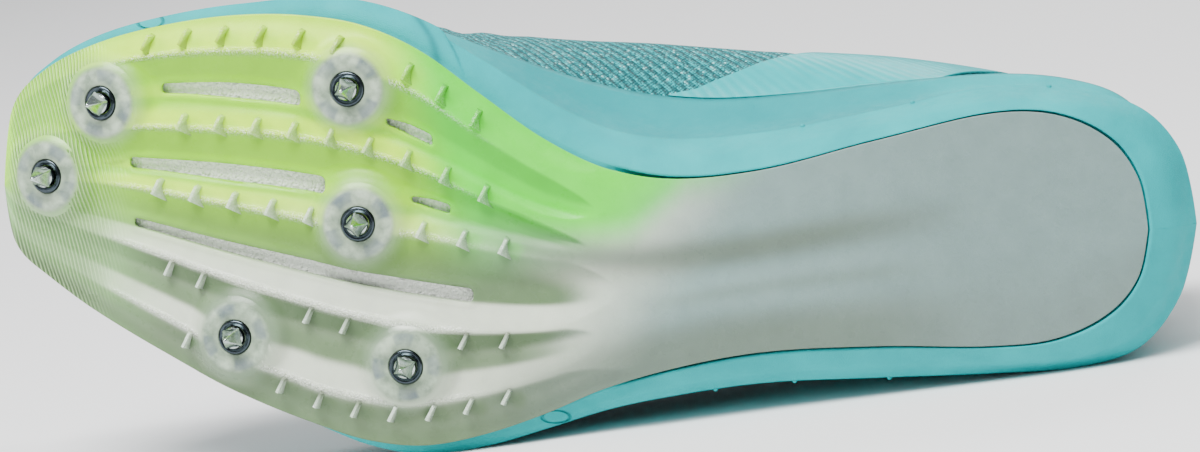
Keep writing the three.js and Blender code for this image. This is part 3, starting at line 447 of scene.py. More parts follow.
def plate_tint(x, share, height):
    """Lime on the inner forefoot, leaf green behind it, milky on the outer side, grey under arch and heel;
    with painted shade on slopes that face away from the light, painted light on those that face it, and
    painted shadows beside the fins.
    """
    place = x / sole_length
    medial = blend(lime, pale_lime, ease(height, 0.25, 0.95))
    # fall is the slope down towards the outer side: painted shade on the slopes that fall that way, away from
    # the light
    fall = (crest_at(share - 0.012, x) - crest_at(share + 0.012, x)) / 0.024
    medial = blend(medial, lime * 0.82, ease(fall, 2, 9))
    medial = blend(medial, pale_lime, 0.7 * ease(-height, -0.12, 0.0))
    # behind the ribs, leaf green with the same painted shade on the falling slopes
    rear_green = blend(blend(leaf, pale_leaf, ease(height, 0.3, 0.95) * 0.8), leaf * 0.8, ease(fall, 2, 9))
    medial = blend(medial, rear_green, ease(x + 26 * (0.3 - share), 98, 118))
    medial = blend(medial, toe_green, 0.8 * (1 - ease(place, 0.03, 0.14)))
    lateral = blend(sage, milk, ease(height, 0.25, 0.8))
    # painted shade on the falling slopes, and painted light on the rising slopes, which face the light
    lateral = blend(lateral, sage * 0.75, ease(fall, 2, 10))
    lateral = blend(lateral, milk, ease(-fall, 2, 8))
    lateral = blend(lateral, toe_milk, 0.8 * (1 - ease(place, 0.05, 0.16)))
    # painted shade along the outer edge, which faces away from the light
    lateral = blend(lateral, sage, 0.75 * ease(share, 0.88, 0.97))
    border = np.interp(x, [0, 60, 100, 125, 140, 155, 168], [0.62, 0.56, 0.50, 0.43, 0.37, 0.29, 0.05])
    front = blend(medial, lateral, ease(share, border - 0.13, border + 0.13))
    # under the arch: painted shade on the facets that face away from the light, painted light on the one
    # between them that faces it
    band = np.exp(-((share - 0.42) / 0.075) ** 2)
    middle = blend(arch_grey, arch_shade, 0.75 * band)
    middle = blend(middle, arch_grey * 1.15, 0.8 * np.exp(-((share - 0.60) / 0.08) ** 2))
    middle = blend(middle, arch_shade, 0.75 * ease(share, 0.68, 0.90))
    rear = blend(heel_grey, heel_low, ease(share, 0.5, 1.0) * 0.6)
    back = blend(middle, rear, ease(place, 0.62, 0.85))
    tint = blend(front, back, ease(x + 30 * share, 150, 190))
    # painted shade where long shallow troughs run back from the ribs: one down the middle, one along the
    # outer edge, and a short one between them
    run = ease(x, 104, 138)
    tint = blend(tint, arch_shade * 1.1, 0.78 * np.exp(-((share - 0.405) / 0.08) ** 2) * run
                 * (1 - ease(x, 190, 240)))
    tint = blend(tint, arch_shade * 1.25, 0.66 * ease(share, 0.70, 0.90) * run * (1 - ease(x, 205, 245)))
    tint = blend(tint, arch_shade * 1.2, 0.40 * np.exp(-((share - 0.64) / 0.045) ** 2) * ease(x, 150, 175)
                 * (1 - ease(x, 205, 235)))
    # painted shadow beside the foot of each fin, stronger on the outer rows
    y = across(share, x)
    for fin_x, fin_y, fin_share, line in fin_spots():
        off = np.hypot(x - fin_x - 2.6, y - fin_y - 0.9)
        deep = blend(lime, sage * 0.8, ease(fin_share, 0.45, 0.6)) if fin_x < 110 else leaf * 0.8
        if fin_share > 0.55:
            deep = sage * 0.8
        tint = blend(tint, deep, (0.30 if line < 5 else 0.60) * np.exp(-(off / 2.1) ** 4))
    # and milky towards the bosses
    halo = blend(tint * 0.95, np.array([0.26, 0.37, 0.25]), 0.42)
    return blend(tint, halo, 1 - ease(from_boss(x, y), 8.4, 12.6))


def paint_points(piece, name, colours):
    layer = piece.data.color_attributes.new(name, "FLOAT_COLOR", "POINT")
    layer.data.foreach_set("color", np.c_[colours, np.ones(len(colours))].ravel())


spots = record_shoe_place(plate)
share = share_across(spots[:, 0], spots[:, 1])
paint_points(plate, "tint", plate_tint(spots[:, 0], share, crest_at(share, spots[:, 0])))
toe_lines = (1 - ease(spots[:, 0] + 22 * (share - 0.5) ** 2, 20, 34)) * ease(spots[:, 0], 1, 4)
keep_value(plate, "toe_lines", toe_lines)
# the crests' creases: the coat is glossier along them, and they carry a painted highlight
crease = np.zeros(len(spots))
for line, move, height, _ in rib_corners[1:-1]:
    if height == 1:
        off = (share - rib_share(rib_lines[line], spots[:, 0]) - move) * 95
        crease = np.maximum(crease, np.exp(-(off / 0.75) ** 2))
keep_value(plate, "crease", crease * ease(spots[:, 0], 24, 36) * (1 - ease(spots[:, 0], 96, 128)))


def new_look(name, rough, coat=0.0, coat_rough=0.1, metal=0.0, shine=0.2):
    """A material with its shader and the sockets that are the same all over."""
    look = bpy.data.materials.new(name)
    look.use_nodes = True
    shader = look.node_tree.nodes["Principled BSDF"]
    shader.inputs["Roughness"].default_value = rough
    shader.inputs["Coat Weight"].default_value = coat
    shader.inputs["Coat Roughness"].default_value = coat_rough
    shader.inputs["Metallic"].default_value = metal
    shader.inputs["Specular IOR Level"].default_value = 0.5 if metal else shine
    return look, shader


class Workbench:
    """Lays nodes into a look and joins them."""

    def __init__(self, look):
        self.nodes, self.links = look.node_tree.nodes, look.node_tree.links

    def node(self, kind, inputs=None, **settings):
        made = self.nodes.new("ShaderNode" + kind)
        for name, value in settings.items():
            setattr(made, name, value)
        for name, value in (inputs or {}).items():
            socket = made.inputs[name]
            if isinstance(value, bpy.types.NodeSocket):
                self.links.new(value, socket)
            else:
                socket.default_value = value
        return made

    def attribute(self, name, output="Fac"):
        return self.node("Attribute", attribute_name=name).outputs[output]

    def math(self, operation, a, b=0.5, clamp=False):
        return self.node("Math", {0: a, 1: b}, operation=operation, use_clamp=clamp).outputs[0]

    def noise(self, scale, detail=3, where=None, rough=0.5):
        made = self.node("TexNoise", {"Scale": scale, "Detail": detail, "Roughness": rough})
        self.links.new(where or self.place(), made.inputs["Vector"])
        return made.outputs["Fac"]

    def place(self):
        """The point's place on the shoe, in centimetres."""
        return self.attribute("shoe_place", "Vector")

    def spread(self, value, low, high, to_low=0.0, to_high=1.0):
        return self.node("MapRange", {"Value": value, "From Min": low, "From Max": high, "To Min": to_low,
                                      "To Max": to_high}).outputs[0]

    def tones(self, value, *stops):
        ramp = self.node("ValToRGB", {"Fac": value})
        ramp.color_ramp.elements[0].position, ramp.color_ramp.elements[1].position = stops[0][0], stops[-1][0]
        ramp.color_ramp.elements[0].color = (*stops[0][1], 1)
        ramp.color_ramp.elements[1].color = (*stops[-1][1], 1)
        for at, colour in stops[1:-1]:
            ramp.color_ramp.elements.new(at).color = (*colour, 1)
        return ramp.outputs["Color"]

    def mix(self, amount, a, b, kind="MIX"):
        made = self.node("Mix", data_type="RGBA", blend_type=kind)
        for socket, value in ((made.inputs[0], amount), (made.inputs[6], a), (made.inputs[7], b)):
            if isinstance(value, bpy.types.NodeSocket):
                self.links.new(value, socket)
            else:
                socket.default_value = value if isinstance(value, (int, float)) else (*value, 1)
        return made.outputs[2]

    def bump(self, height, distance, strength=1.0, under=None):
        made = self.node("Bump", {"Height": height, "Distance": distance, "Strength": strength})
        if under:
            self.links.new(under, made.inputs["Normal"])
        return made.outputs["Normal"]

    def finish(self, shader, colour=None, rough=None, normal=None, coat_normal=None):
        for name, value in (("Base Color", colour), ("Roughness", rough), ("Normal", normal),
                            ("Coat Normal", coat_normal)):
            if value is not None:
                self.links.new(value, shader.inputs[name])


def clear_plastic():
    look, shader = new_look("clear_plate_plastic", 0.3, coat=0.3, coat_rough=0.09)
    shader.inputs["Subsurface Weight"].default_value = 0.12
    shader.inputs["Subsurface Radius"].default_value = (0.003, 0.004, 0.002)
    shader.inputs["Subsurface Scale"].default_value = 1.0
    bench = Workbench(look)
    tint = bench.attribute("tint", "Color")
    cloud = bench.noise(1.6, 4)
    colour = bench.mix(bench.spread(cloud, 0.35, 0.7, 0.0, 0.09), tint, (0.0, 0.0, 0.0))
    lines = bench.node("TexWave", {"Scale": 3.4, "Distortion": 0.7, "Detail": 1.0, "Detail Scale": 0.8},
                       bands_direction="X")
    turned_place = bench.node("Mapping", {"Vector": bench.place(),
                                          "Rotation": (0, 0, math.radians(14))}).outputs[0]
    bench.links.new(turned_place, lines.inputs["Vector"])
    line_height = bench.math("MULTIPLY", lines.outputs["Fac"], bench.attribute("toe_lines"))
    colour = bench.mix(bench.math("MULTIPLY", line_height, 0.42), colour, toe_green * 0.5 + 0.45)
    between = bench.math("SUBTRACT", bench.attribute("toe_lines"), line_height)
    colour = bench.mix(bench.math("MULTIPLY", between, 0.45), colour, colour, "MULTIPLY")
    crease = bench.attribute("crease")
    sparkle = bench.math("MULTIPLY", bench.noise(22, 2), crease)
    # painted highlight: near-white flecks along the creases
    glint = bench.math("MULTIPLY", bench.spread(bench.noise(26, 3), 0.46, 0.60), crease, clamp=True)
    colour = bench.mix(bench.math("MULTIPLY", glint, 0.50), colour, (0.95, 0.98, 0.92))
    bench.links.new(bench.spread(crease, 0.0, 0.5, 0.12, 1.0), shader.inputs["Coat Weight"])
    grain = bench.noise(60, 3)
    normal = bench.bump(line_height, 0.0006)
    normal = bench.bump(sparkle, 0.0010, under=normal)
    normal = bench.bump(grain, 0.00004, under=normal)
    rough = bench.spread(bench.noise(3, 3), 0.3, 0.7, 0.22, 0.40)
    bench.finish(shader, colour, rough, normal, normal)
    return look


plate_look = clear_plastic()
plate.data.materials.append(plate_look)
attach(plate, "root")
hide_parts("plate")

# The bosses: milky cones moulded over the steel sockets, with a grey four-lobed insert inside.
boss_height = 2.6


def boss(x, y, number):
    h = boss_height
    profile = [(4.0, h - 0.9), (4.25, h - 0.15), (4.6, h + 0.06), (5.6, h + 0.05), (6.8, h + 0.04),
               (7.3, h - 0.03), (7.8, h - 0.14),
               (8.3, h - 0.32), (8.8, h - 0.58), (9.3, h - 0.85), (9.9, h - 1.30)]
    piece = turned("boss_%d" % number, profile, 96)
    mesh = piece.data
    spots = np.array([v.co for v in mesh.vertices])
    radius, angle = np.hypot(spots[:, 0], spots[:, 1]), np.arctan2(spots[:, 1], spots[:, 0])
    keep_value(piece, "insert", ease(np.cos(4 * angle + number), -0.1, 0.45) * ease(radius, 4.6, 5.2)
               * (1 - ease(radius, 7.6, 8.6)))
    keep_value(piece, "skirt", ease(radius, 7.9, 9.0))
    keep_value(piece, "dome", np.exp(-((radius - 5.0) / 0.9) ** 2) + 0.5 * ease(radius, 7.4, 8.4)
               * (1 - ease(radius, 8.6, 9.4)))
    settle(piece, on_underside(x, y))
    place = record_shoe_place(piece)
    share = share_across(place[:, 0], place[:, 1])
    paint_points(piece, "tint", plate_tint(place[:, 0], share, crest_at(share, place[:, 0])))
    return piece


def milky_plastic():
    look, shader = new_look("milky_boss_plastic", 0.30, coat=0.5, coat_rough=0.26)
    shader.inputs["Subsurface Weight"].default_value = 0.15
    shader.inputs["Subsurface Radius"].default_value = (0.003, 0.003, 0.003)
    shader.inputs["Subsurface Scale"].default_value = 1.0
    bench = Workbench(look)
    cloud = bench.noise(3.2, 5)
    milky = bench.tones(cloud, (0.35, (0.19, 0.255, 0.185)), (0.65, (0.42, 0.52, 0.39)))
    insert = bench.math("MULTIPLY", bench.attribute("insert"),
                        bench.spread(bench.noise(2.5, 3), 0.3, 0.7, 0.3, 0.9))
    milky = bench.mix(insert, milky, (0.10, 0.135, 0.16))
    colour = bench.mix(bench.attribute("skirt"), milky, bench.attribute("tint", "Color"))
    colour = bench.mix(bench.math("MULTIPLY", bench.attribute("dome"), 0.5), colour, (0.13, 0.18, 0.12))
    normal = bench.bump(bench.noise(9, 4), 0.00012)
    bench.finish(shader, colour, bench.spread(cloud, 0.3, 0.7, 0.22, 0.42), normal)
    return look


boss_look = milky_plastic()
bosses = [boss(x * sole_length, y * ball_width, i + 1) for i, (x, y) in enumerate(spike_places)]
for piece in bosses:
    piece.data.materials.append(boss_look)
    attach(piece, "root")

# The fins: small wedges moulded in rows on the ribs, steep on the toe side, for grip on the track.
fin_length, fin_height, fin_lean = 4.6, 2.0, 62


def fin_wedge(web):
    bpy.ops.object.select_all(action="DESELECT")
    bpy.ops.mesh.primitive_cube_add(size=1)
    piece = bpy.context.object
    piece.name = piece.data.name = "fin"
    shape = bmesh.new()
    shape.from_mesh(piece.data)
    for vert in shape.verts:
        x, y, z = vert.co
        high = z > 0
        vert.co.x = x * fin_length * (0.84 if high else 1.0)
        vert.co.y = (0.45 if y > 0 else -0.25) if high else (0.7 if y > 0 else -web if x < 0 else -0.8)
        vert.co.z = fin_height if high else -1.2
    bmesh.ops.bevel(shape, geom=list(shape.edges), offset=0.10, segments=2, profile=0.6, affect="EDGES")
    bmesh.ops.recalc_face_normals(shape, faces=shape.faces)
    shape.to_mesh(piece.data)
    shape.free()
    return piece


fin_models = fin_wedge(4.6), fin_wedge(1.0)
fins = []
for x, y, share, line in fin_spots():
    model = fin_models[int(share > 0.55)]
    piece = model.copy()
    piece.data = model.data.copy()
    bpy.context.scene.collection.objects.link(piece)
    deep = float(underside(np.array(x), np.array(share)))
    sunk = deep - float(ground(x)) - float(curl(np.array(share), np.array(x)))
    place = on_underside(x, y) @ Matrix.Translation((0, 0,
                                                     -sunk)) @ Matrix.Rotation(math.radians(fin_lean), 4, "Z")
    fins.append(settle(piece, place))
for model in fin_models:
    bpy.data.objects.remove(model)
fins = joined(fins, "plate_fins")
bpy.ops.object.shade_smooth_by_angle(angle=math.radians(40))
place = record_shoe_place(fins)
share = share_across(place[:, 0], place[:, 1])
fin_tint = plate_tint(place[:, 0], share, np.ones(len(place)))
off = place[:, 2] - underside(place[:, 0], share, False)
high = ease(-off, 1.45, 1.95)[:, None]
# painted shade on the fins' low webs; their crests are paler, part the pale plastic and part painted
# highlight
fin_tint = fin_tint * (0.56 + 0.44 * high)
paint_points(fins, "tint", fin_tint + (np.array([0.72, 0.88, 0.72]) - fin_tint) * 0.75 * high
             * ease(share, 0.1, 0.6)[:, None])
keep_value(fins, "toe_lines", np.zeros(len(place)))
# the crests also take the plate's painted highlight
keep_value(fins, "crease", 0.5 * high[:, 0])
fins.data.materials.append(plate_look)
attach(fins, "root")

# The sockets and spikes: a dark steel cup is moulded into each boss, and a quarter-inch spike
# with a ground square point is screwed into it.
socket_radius, spike_width, spike_length = 4.0, 5.2, 6.4


def socket_cup(number):
    h = boss_height + 0.25
    profile = [(0, h - 3.0), (2.7, h - 3.0), (2.75, h - 0.55), (2.9, h - 0.28), (3.25, h - 0.12), (3.55, h),
               (3.8, h - 0.03),
               (3.96, h - 0.16), (4.0, h - 0.4), (4.0, h - 4.0)]
    return turned("socket_%d" % number, profile, 72)


def spike_point(number):
    h = boss_height + 0.25
    w = spike_width / 2
    bpy.ops.object.select_all(action="DESELECT")
    bpy.ops.mesh.primitive_cone_add(vertices=4, radius1=w * 1.24, radius2=0.5, depth=spike_length - 1.1,
                                    location=(0, 0, h + 1.1 + (spike_length - 1.1) / 2))
    point = bpy.context.object
    shape_with(point, "BEVEL", width=0.55, segments=4, limit_method="ANGLE", angle_limit=math.radians(20))
    foot = turned("spike_foot", [(0, h + 1.5), (w * 0.86, h + 1.45), (w * 0.98, h + 1.1), (w * 0.98, h + 0.5),
                                 (2.55, h + 0.1), (2.5, h - 2.6), (0, h - 2.6)], 48)
    take_hold(foot)
    point.select_set(True)
    bpy.ops.object.join()
    piece = bpy.context.object
    piece.name = piece.data.name = "spike_point_%d" % number
    bpy.ops.object.transform_apply(location=True, rotation=True, scale=True)
    bpy.ops.object.shade_smooth_by_angle(angle=math.radians(38))
    return piece


def dark_steel(name, colour, rough):
    look, shader = new_look(name, rough, metal=1.0)
    bench = Workbench(look)
    wear = bench.noise(14, 5)
    tone = bench.tones(wear, (0.3, colour * 0.75), (0.7, colour * 1.2))
    normal = bench.bump(bench.noise(50, 2), 0.000005)
    bench.finish(shader, tone, bench.spread(wear, 0.3, 0.7, rough * 0.8, rough * 1.5), normal)
    return look


socket_look = dark_steel("dark_socket_steel", np.array([0.05, 0.065, 0.075]), 0.16)
spike_look = dark_steel("bright_spike_steel", np.array([0.50, 0.57, 0.55]), 0.15)
spike_turns = (12, 38, 25, 8, 55, 30)
for i, (x, y) in enumerate(spike_places):
    place = on_underside(x * sole_length, y * ball_width)
    for piece, look, node, slot, turn in (
            (socket_cup(i + 1), socket_look, "receptacle_%d", "receptacle", 0),
            (spike_point(i + 1), spike_look, "spike_%d", "spike", spike_turns[i])):
        settle(piece, place @ Matrix.Rotation(math.radians(turn), 4, "Z"))
        record_shoe_place(piece)
        piece.data.materials.append(look)
        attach(piece, "root")
        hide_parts(node % (i + 1))

# The white board under the clear plate: a stiff textured sheet, glued to the foam and
# seen only through the plate's windows.
board_ends = (0.055, 0.560)
board_reach = 0.80
board_thickness = 0.8
fit = 0.3


def plate_top(x):
    return ground(x) + plate_thickness + rib_depth * rib_strength(x)


def board_sheet():
    x = np.arange(board_ends[0] * sole_length + 3, board_ends[1] * sole_length - 3, 3.0)
    shares = 0.5 + 0.5 * board_reach * np.linspace(-1, 1, 40)
    gx, gs = np.meshgrid(x, shares, indexing="ij")
    points = np.stack([gx, across(gs, gx), plate_top(gx) + fit], -1)
    piece = surface_piece("white_board", points.reshape(-1, 3), *gx.shape)
    take_hold(piece)
    if Vector(down_z).dot(piece.data.polygons[100].normal) < 0:
        piece.data.flip_normals()
    shape_with(piece, "SOLIDIFY", thickness=board_thickness / 1000, offset=-1)
    return piece


board = board_sheet()


def fastened(piece, look, node):
    """Gives a piece its look and its place in the frame."""
    if "shoe_place" not in piece.data.attributes:
        record_shoe_place(piece)
    piece.data.materials.clear()
    piece.data.materials.append(look)
    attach(piece, "root")
    if node:
        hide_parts(node)


def pebbled_board():
    look, shader = new_look("pebbled_white_board", 0.75)
    bench = Workbench(look)
    pebble = bench.node("TexVoronoi", {"Vector": bench.place(), "Scale": 16.0},
                        feature="SMOOTH_F1").outputs["Distance"]
    tone = bench.tones(bench.noise(6, 4), (0.3, (0.90, 0.93, 0.87)), (0.7, (0.96, 0.98, 0.94)))
    tone = bench.mix(bench.spread(pebble, 0.3, 0.7, 0.0, 0.22), tone, (0.50, 0.55, 0.47))
    bench.finish(shader, tone, None, bench.bump(pebble, 0.0006, 1.0))
    return look


fastened(board, pebbled_board(), "board")

# The midsole: one block of moulded foam. Its side swells out to a widest line, draws in to a
# lip round the upper, and is scooped under the arch. The plate sits in its underside.
instep_height = 82
wall = 1.8
lip = 1.3
rim_rows = [
    (0.000, -0.080, 0.21, -0.080, 0.21), (0.009, -0.270, 0.21, 0.050, 0.21),
    (0.041, -0.372, 0.25, 0.127, 0.24), (0.083, -0.434, 0.29, 0.208, 0.26),
    (0.137, -0.478, 0.33, 0.293, 0.28), (0.209, -0.512, 0.36, 0.396, 0.29),
    (0.268, -0.519, 0.38, 0.461, 0.29), (0.317, -0.501, 0.40, 0.511, 0.28),
    (0.366, -0.456, 0.41, 0.529, 0.28), (0.418, -0.374, 0.43, 0.506, 0.28),
    (0.467, -0.286, 0.46, 0.466, 0.29), (0.516, -0.221, 0.49, 0.424, 0.30),
    (0.564, -0.197, 0.50, 0.396, 0.31), (0.641, -0.209, 0.50, 0.365, 0.32),
    (0.735, -0.257, 0.50, 0.354, 0.33), (0.833, -0.312, 0.50, 0.345, 0.34),
    (0.910, -0.300, 0.50, 0.330, 0.38), (0.956, -0.258, 0.50, 0.283, 0.42),
    (0.986, -0.165, 0.50, 0.175, 0.47), (1.000, 0.005, 0.50, 0.005, 0.50)]
seat_rows = [
    (0.000, -0.080, 0.384, -0.080, 0.384), (0.011, -0.250, 0.367, 0.050, 0.367),
    (0.036, -0.350, 0.341, 0.126, 0.341), (0.079, -0.422, 0.305, 0.218, 0.305),
    (0.133, -0.461, 0.256, 0.301, 0.256), (0.205, -0.487, 0.207, 0.393, 0.207),
    (0.270, -0.488, 0.189, 0.453, 0.183), (0.324, -0.469, 0.185, 0.485, 0.177),
    (0.378, -0.427, 0.210, 0.493, 0.177), (0.432, -0.369, 0.256, 0.471, 0.195),
    (0.486, -0.315, 0.317, 0.442, 0.226), (0.540, -0.277, 0.360, 0.411, 0.256),
    (0.594, -0.262, 0.372, 0.388, 0.274), (0.665, -0.272, 0.372, 0.360, 0.293),
    (0.755, -0.301, 0.366, 0.339, 0.323), (0.845, -0.320, 0.360, 0.321, 0.348),
    (0.899, -0.309, 0.363, 0.308, 0.360), (0.946, -0.267, 0.372, 0.268, 0.372),
    (0.982, -0.160, 0.380, 0.170, 0.380), (1.000, 0.005, 0.384, 0.005, 0.384)]
bed_rows = [
    (0.00, 0.345), (0.04, 0.285), (0.14, 0.200), (0.28, 0.140), (0.40, 0.140),
    (0.56, 0.195), (0.72, 0.250), (0.86, 0.270), (1.00, 0.290)]
rim_span = (0.002, 1.000)
seat_span = (0.017, 0.986)
lip_span = (seat_span[0] - lip / sole_length, seat_span[1] + lip / sole_length)
plate_overhang = 1.2
step_foot, step_lean, step_proud = 115.4, 17, 1.9
groove_span = (plate_span[0] + plate_overhang / sole_length, plate_span[1] + 1.5 * fit / sole_length)
bed_inset = wall + 1.2
bed_span = (seat_span[0] + bed_inset / sole_length, seat_span[1] - bed_inset / sole_length)
rim, seat, bed = drawn_line(rim_rows), drawn_line(seat_rows), drawn_line(bed_rows)


def along(span, at):
    return sole_length * mixed(span[0], span[1], np.asarray(at, float))


def side_of(row, side, name):
    """A table's width or height on one side."""
    pick = {"y": 0, "z": 1}[name] + (2 if side > 0 else 0)
    return row[..., pick]


def open_ends(at):
    return np.sqrt(ease(np.minimum(at, 1 - at), -0.0001, 0.03))


def bed_point(at, side, share, lift):
    low = seat(at)
    middle = ball_width * (low[..., 0] + low[..., 2]) / 2
    half = np.abs(ball_width * side_of(low, side, "y") - middle)
    outside = middle + side * np.maximum(0, half - bed_inset * np.minimum(1, half / 8))
    height = mixed(instep_height * bed(at)[..., 0], instep_height * side_of(low, side, "z") - fit, share ** 3)
    return np.stack([along(bed_span, at), mixed(middle, outside, share), height + lift], -1)


def through(points, steps):
    """A smooth curve through a list of points, each an array of places."""
    ends = [2 * points[0] - points[1], *points, 2 * points[-1] - points[-2]]
    curve = []
    for i in range(1, len(ends) - 2):
        p0, p1, p2, p3 = ends[i - 1:i + 3]
        for t in np.arange(steps) / steps:
            curve.append(0.5 * (2 * p1 + (p2 - p0) * t + (2 * p0 - 5 * p1 + 4 * p2 - p3) * t**2
                                + (3 * p1 - p0 - 3 * p2 + p3) * t**3))
    return curve + [points[-1]]


def midsole_side(at, side):
    low, high = rim(at), seat(at)
    plate_x = along(groove_span, at)
    wrap_out, wrap_down = ease(at, 0.43, 0.50), ease(at, 0.53, 0.64)
    under_board = (plate_x > board_ends[0] * sole_length) & (plate_x < board_ends[1] * sole_length)
    roof = plate_top(plate_x) + fit + np.where(under_board, board_thickness + fit, 0)
    brink = plate_top(plate_x) + curl(np.ones_like(plate_x), plate_x) + fit
    edge = plate_edge(at)
    plate_y = ball_width * edge[..., 0 if side < 0 else 1]
    middle_y = ball_width * (edge[..., 0] + edge[..., 1]) / 2
    foot = mixed(brink + 0.1, ground(plate_x) + 0.2, wrap_down)
    grown = np.where((at <= 0) | (at >= 1), 0, open_ends(at))
    inset = mixed(-plate_overhang, fit, wrap_out) * side * grown
    out_x = along(rim_span, at)
    out = np.stack([out_x, ball_width * side_of(low, side, "y"),
                    ground(out_x) + toe_spring * side_of(low, side, "z")], -1)
    hollow = np.stack([plate_x, mixed(middle_y, plate_y, board_reach + 0.05), roof], -1)
    groove = np.stack([plate_x, plate_y + inset, brink], -1)
    brim = np.stack([plate_x, plate_y + inset + 0.15 * side * grown, foot], -1)
    lip_y = ball_width * side_of(high, side, "y") + lip * side * grown
    crown = np.stack([along(lip_span, at), lip_y, instep_height * side_of(high, side, "z") - fit], -1)
    under = mixed(brim, out, 0.55)
    under[..., 2] -= (out[..., 2] - brim[..., 2]) * 0.18
    above = mixed(out, crown, 0.5)
    above[..., 1] -= side * grown * 1.5 * ease(at, 0.42, 0.55) * (1 if side < 0 else 0.4)
    if side < 0:
        # the forefoot's wall ends in a step, and the arch wall bends sharply along its widest line
        corners = [brim, under, mixed(under, out, 0.90), out, mixed(out, above, 0.10), above, crown]
    else:
        corners = [brim, under, mixed(under, out, 0.6), out, mixed(out, above, 0.4), above, crown]
    flank = through(corners, 6)
    if side < 0:
        for i, spot in enumerate(flank):
            up_wall = i / (len(flank) - 1)
            step_x = step_foot - step_lean * up_wall ** 1.1
            proud = (1 - ease(spot[:, 0] - step_x, -0.5, 0.5)) * ease(spot[:, 0], 60, 95)
            swell = math.sin(math.pi * min(1, up_wall * 1.15)) ** 0.5 if up_wall < 0.87 else 0
            spot[:, 1] -= step_proud * proud * swell
            spot[:, 2] -= 0.5 * proud * swell
    inside = [bed_point(at, side, share, 0) for share in (1, 0.94, 0.88, 0.77, 0.66, 0.5, 0.36, 0.18)]
    return [hollow, groove] + flank + inside, flank


midsole_at = np.unique(np.concatenate([even_ends(190), np.linspace(0.335, 0.425, 64)]))
inner_ring, inner_flank = midsole_side(midsole_at, -1)
outer_ring, outer_flank = midsole_side(midsole_at, 1)
ring = [(inner_ring[0] + outer_ring[0]) / 2, *outer_ring, bed_point(midsole_at, 1, 0.0, 0), *inner_ring[::-1]]
points = np.stack(ring, 1)
midsole = surface_piece("foam_midsole", points.reshape(-1, 3), points.shape[0], points.shape[1], closed=True)
turn_faces_out(midsole)

# painted shade on the arch's wall above the line where it bends along the rim, and painted shadow just behind
# the step where the forefoot's wall ends
spots = record_shoe_place(midsole)
rim_at = np.clip((spots[:, 0] / sole_length - rim_span[0]) / (rim_span[1] - rim_span[0]), 0, 1)
bend_z = ground(spots[:, 0]) + toe_spring * rim(rim_at)[:, 1]
bend_y = ball_width * rim(rim_at)[:, 0]
reach = ease(spots[:, 0], 104, 124) * (1 - ease(spots[:, 0], 205, 242)) * (spots[:, 1] < bend_y + 14)
keep_value(midsole, "arch_wall_shade", ease(spots[:, 2] - bend_z, -0.2, 0.7) * reach)
up = (spots[:, 2] - ground(spots[:, 0])) / 12
step_gap = spots[:, 0] - (step_foot - step_lean * np.clip(up, 0, 1) ** 1.1)
keep_value(midsole, "step_shade", np.exp(-((step_gap - 0.9) / 1.3) ** 2) * (spots[:, 1] < -20)
           * ease(up, -0.1, 0.1))


def oval_mark(bench, place, size, bold):
    """1 on the line of a small oval sunk into the foam, 0 elsewhere."""
    off = bench.node("VectorMath", {0: bench.place(), 1: (*(v / 10 for v in place), 0)},
                     operation="SUBTRACT").outputs[0]
    off = bench.node("VectorMath", {0: off, 1: (10 / size[0], 10 / size[1], 0)},
                     operation="MULTIPLY").outputs[0]
    length = bench.node("VectorMath", {0: off}, operation="LENGTH").outputs["Value"]
    return bench.math("SUBTRACT", 1.0, bench.spread(bench.math("ABSOLUTE",
                                                               bench.math("SUBTRACT", length,
                                                                          1.0)), 0.0, bold))


def teal_foam(with_marks_and_shade):
    look, shader = new_look("teal_foam" if with_marks_and_shade else "teal_pips", 0.6, coat=0.0, shine=0.12)
    bench = Workbench(look)
    tone = bench.tones(bench.noise(0.9, 4), (0.3, (0.003, 0.33, 0.345)), (0.7, (0.004, 0.40, 0.415)))
    specks = bench.noise(45, 2)
    tone = bench.mix(bench.spread(specks, 0.62, 0.75, 0, 0.20), tone, (0.03, 0.48, 0.49))
    scuffs = bench.spread(bench.noise(2.2, 8, rough=0.7), 0.60, 0.78, 0, 0.22)
    tone = bench.mix(scuffs, tone, (0.008, 0.28, 0.30))
    normal = bench.bump(bench.noise(38, 3), 0.00012)
    normal = bench.bump(bench.noise(1.3, 3), 0.0009, 0.5, under=normal)
    if with_marks_and_shade:
        # painted shade on the arch's upper wall, and painted shadow behind the forefoot's step
        tone = bench.mix(bench.math("MULTIPLY", bench.attribute("arch_wall_shade"), 0.42), tone,
                         (0.002, 0.17, 0.19))
        tone = bench.mix(bench.math("MULTIPLY", bench.attribute("step_shade"), 0.72), tone,
                         (0.003, 0.16, 0.175))
        for place, size in (((37.8, -48.3), (3.4, 1.7)), ((135.8, 45.2), (3.3, 1.6))):
            mark = oval_mark(bench, place, size, 0.16)
            tone = bench.mix(bench.math("MULTIPLY", mark, 0.6), tone, (0.003, 0.14, 0.155))
            normal = bench.bump(mark, -0.0005, under=normal)
    bench.finish(shader, tone, bench.spread(bench.noise(5, 4), 0.3, 0.7, 0.46, 0.64), normal)
    return look


foam_look = teal_foam(True)
fastened(midsole, foam_look, "midsole")

# Small pips are left on the foam's widest line, where the two halves of its mould met.
pips = []
for px, side in ((194.4, -1), (220.3, -1), (252.4, -1), (173.6, 1), (192.3, 1), (214.7, 1)):
    at = (px / sole_length - rim_span[0]) / (rim_span[1] - rim_span[0])
    row = rim(np.array(at))
    spot = [px, ball_width * float(side_of(row, side, "y")),
            float(ground(px)) + toe_spring * float(side_of(row, side, "z"))]
    bpy.ops.object.select_all(action="DESELECT")
    bpy.ops.mesh.primitive_uv_sphere_add(segments=12, ring_count=8, radius=0.0006, location=laid([spot])[0])
    pips.append(bpy.context.object)
pips = joined(pips, "mould_pips")
bpy.ops.object.transform_apply(location=True, rotation=True, scale=True)
bpy.ops.object.shade_smooth()
record_shoe_place(pips)
fastened(pips, teal_foam(False), None)

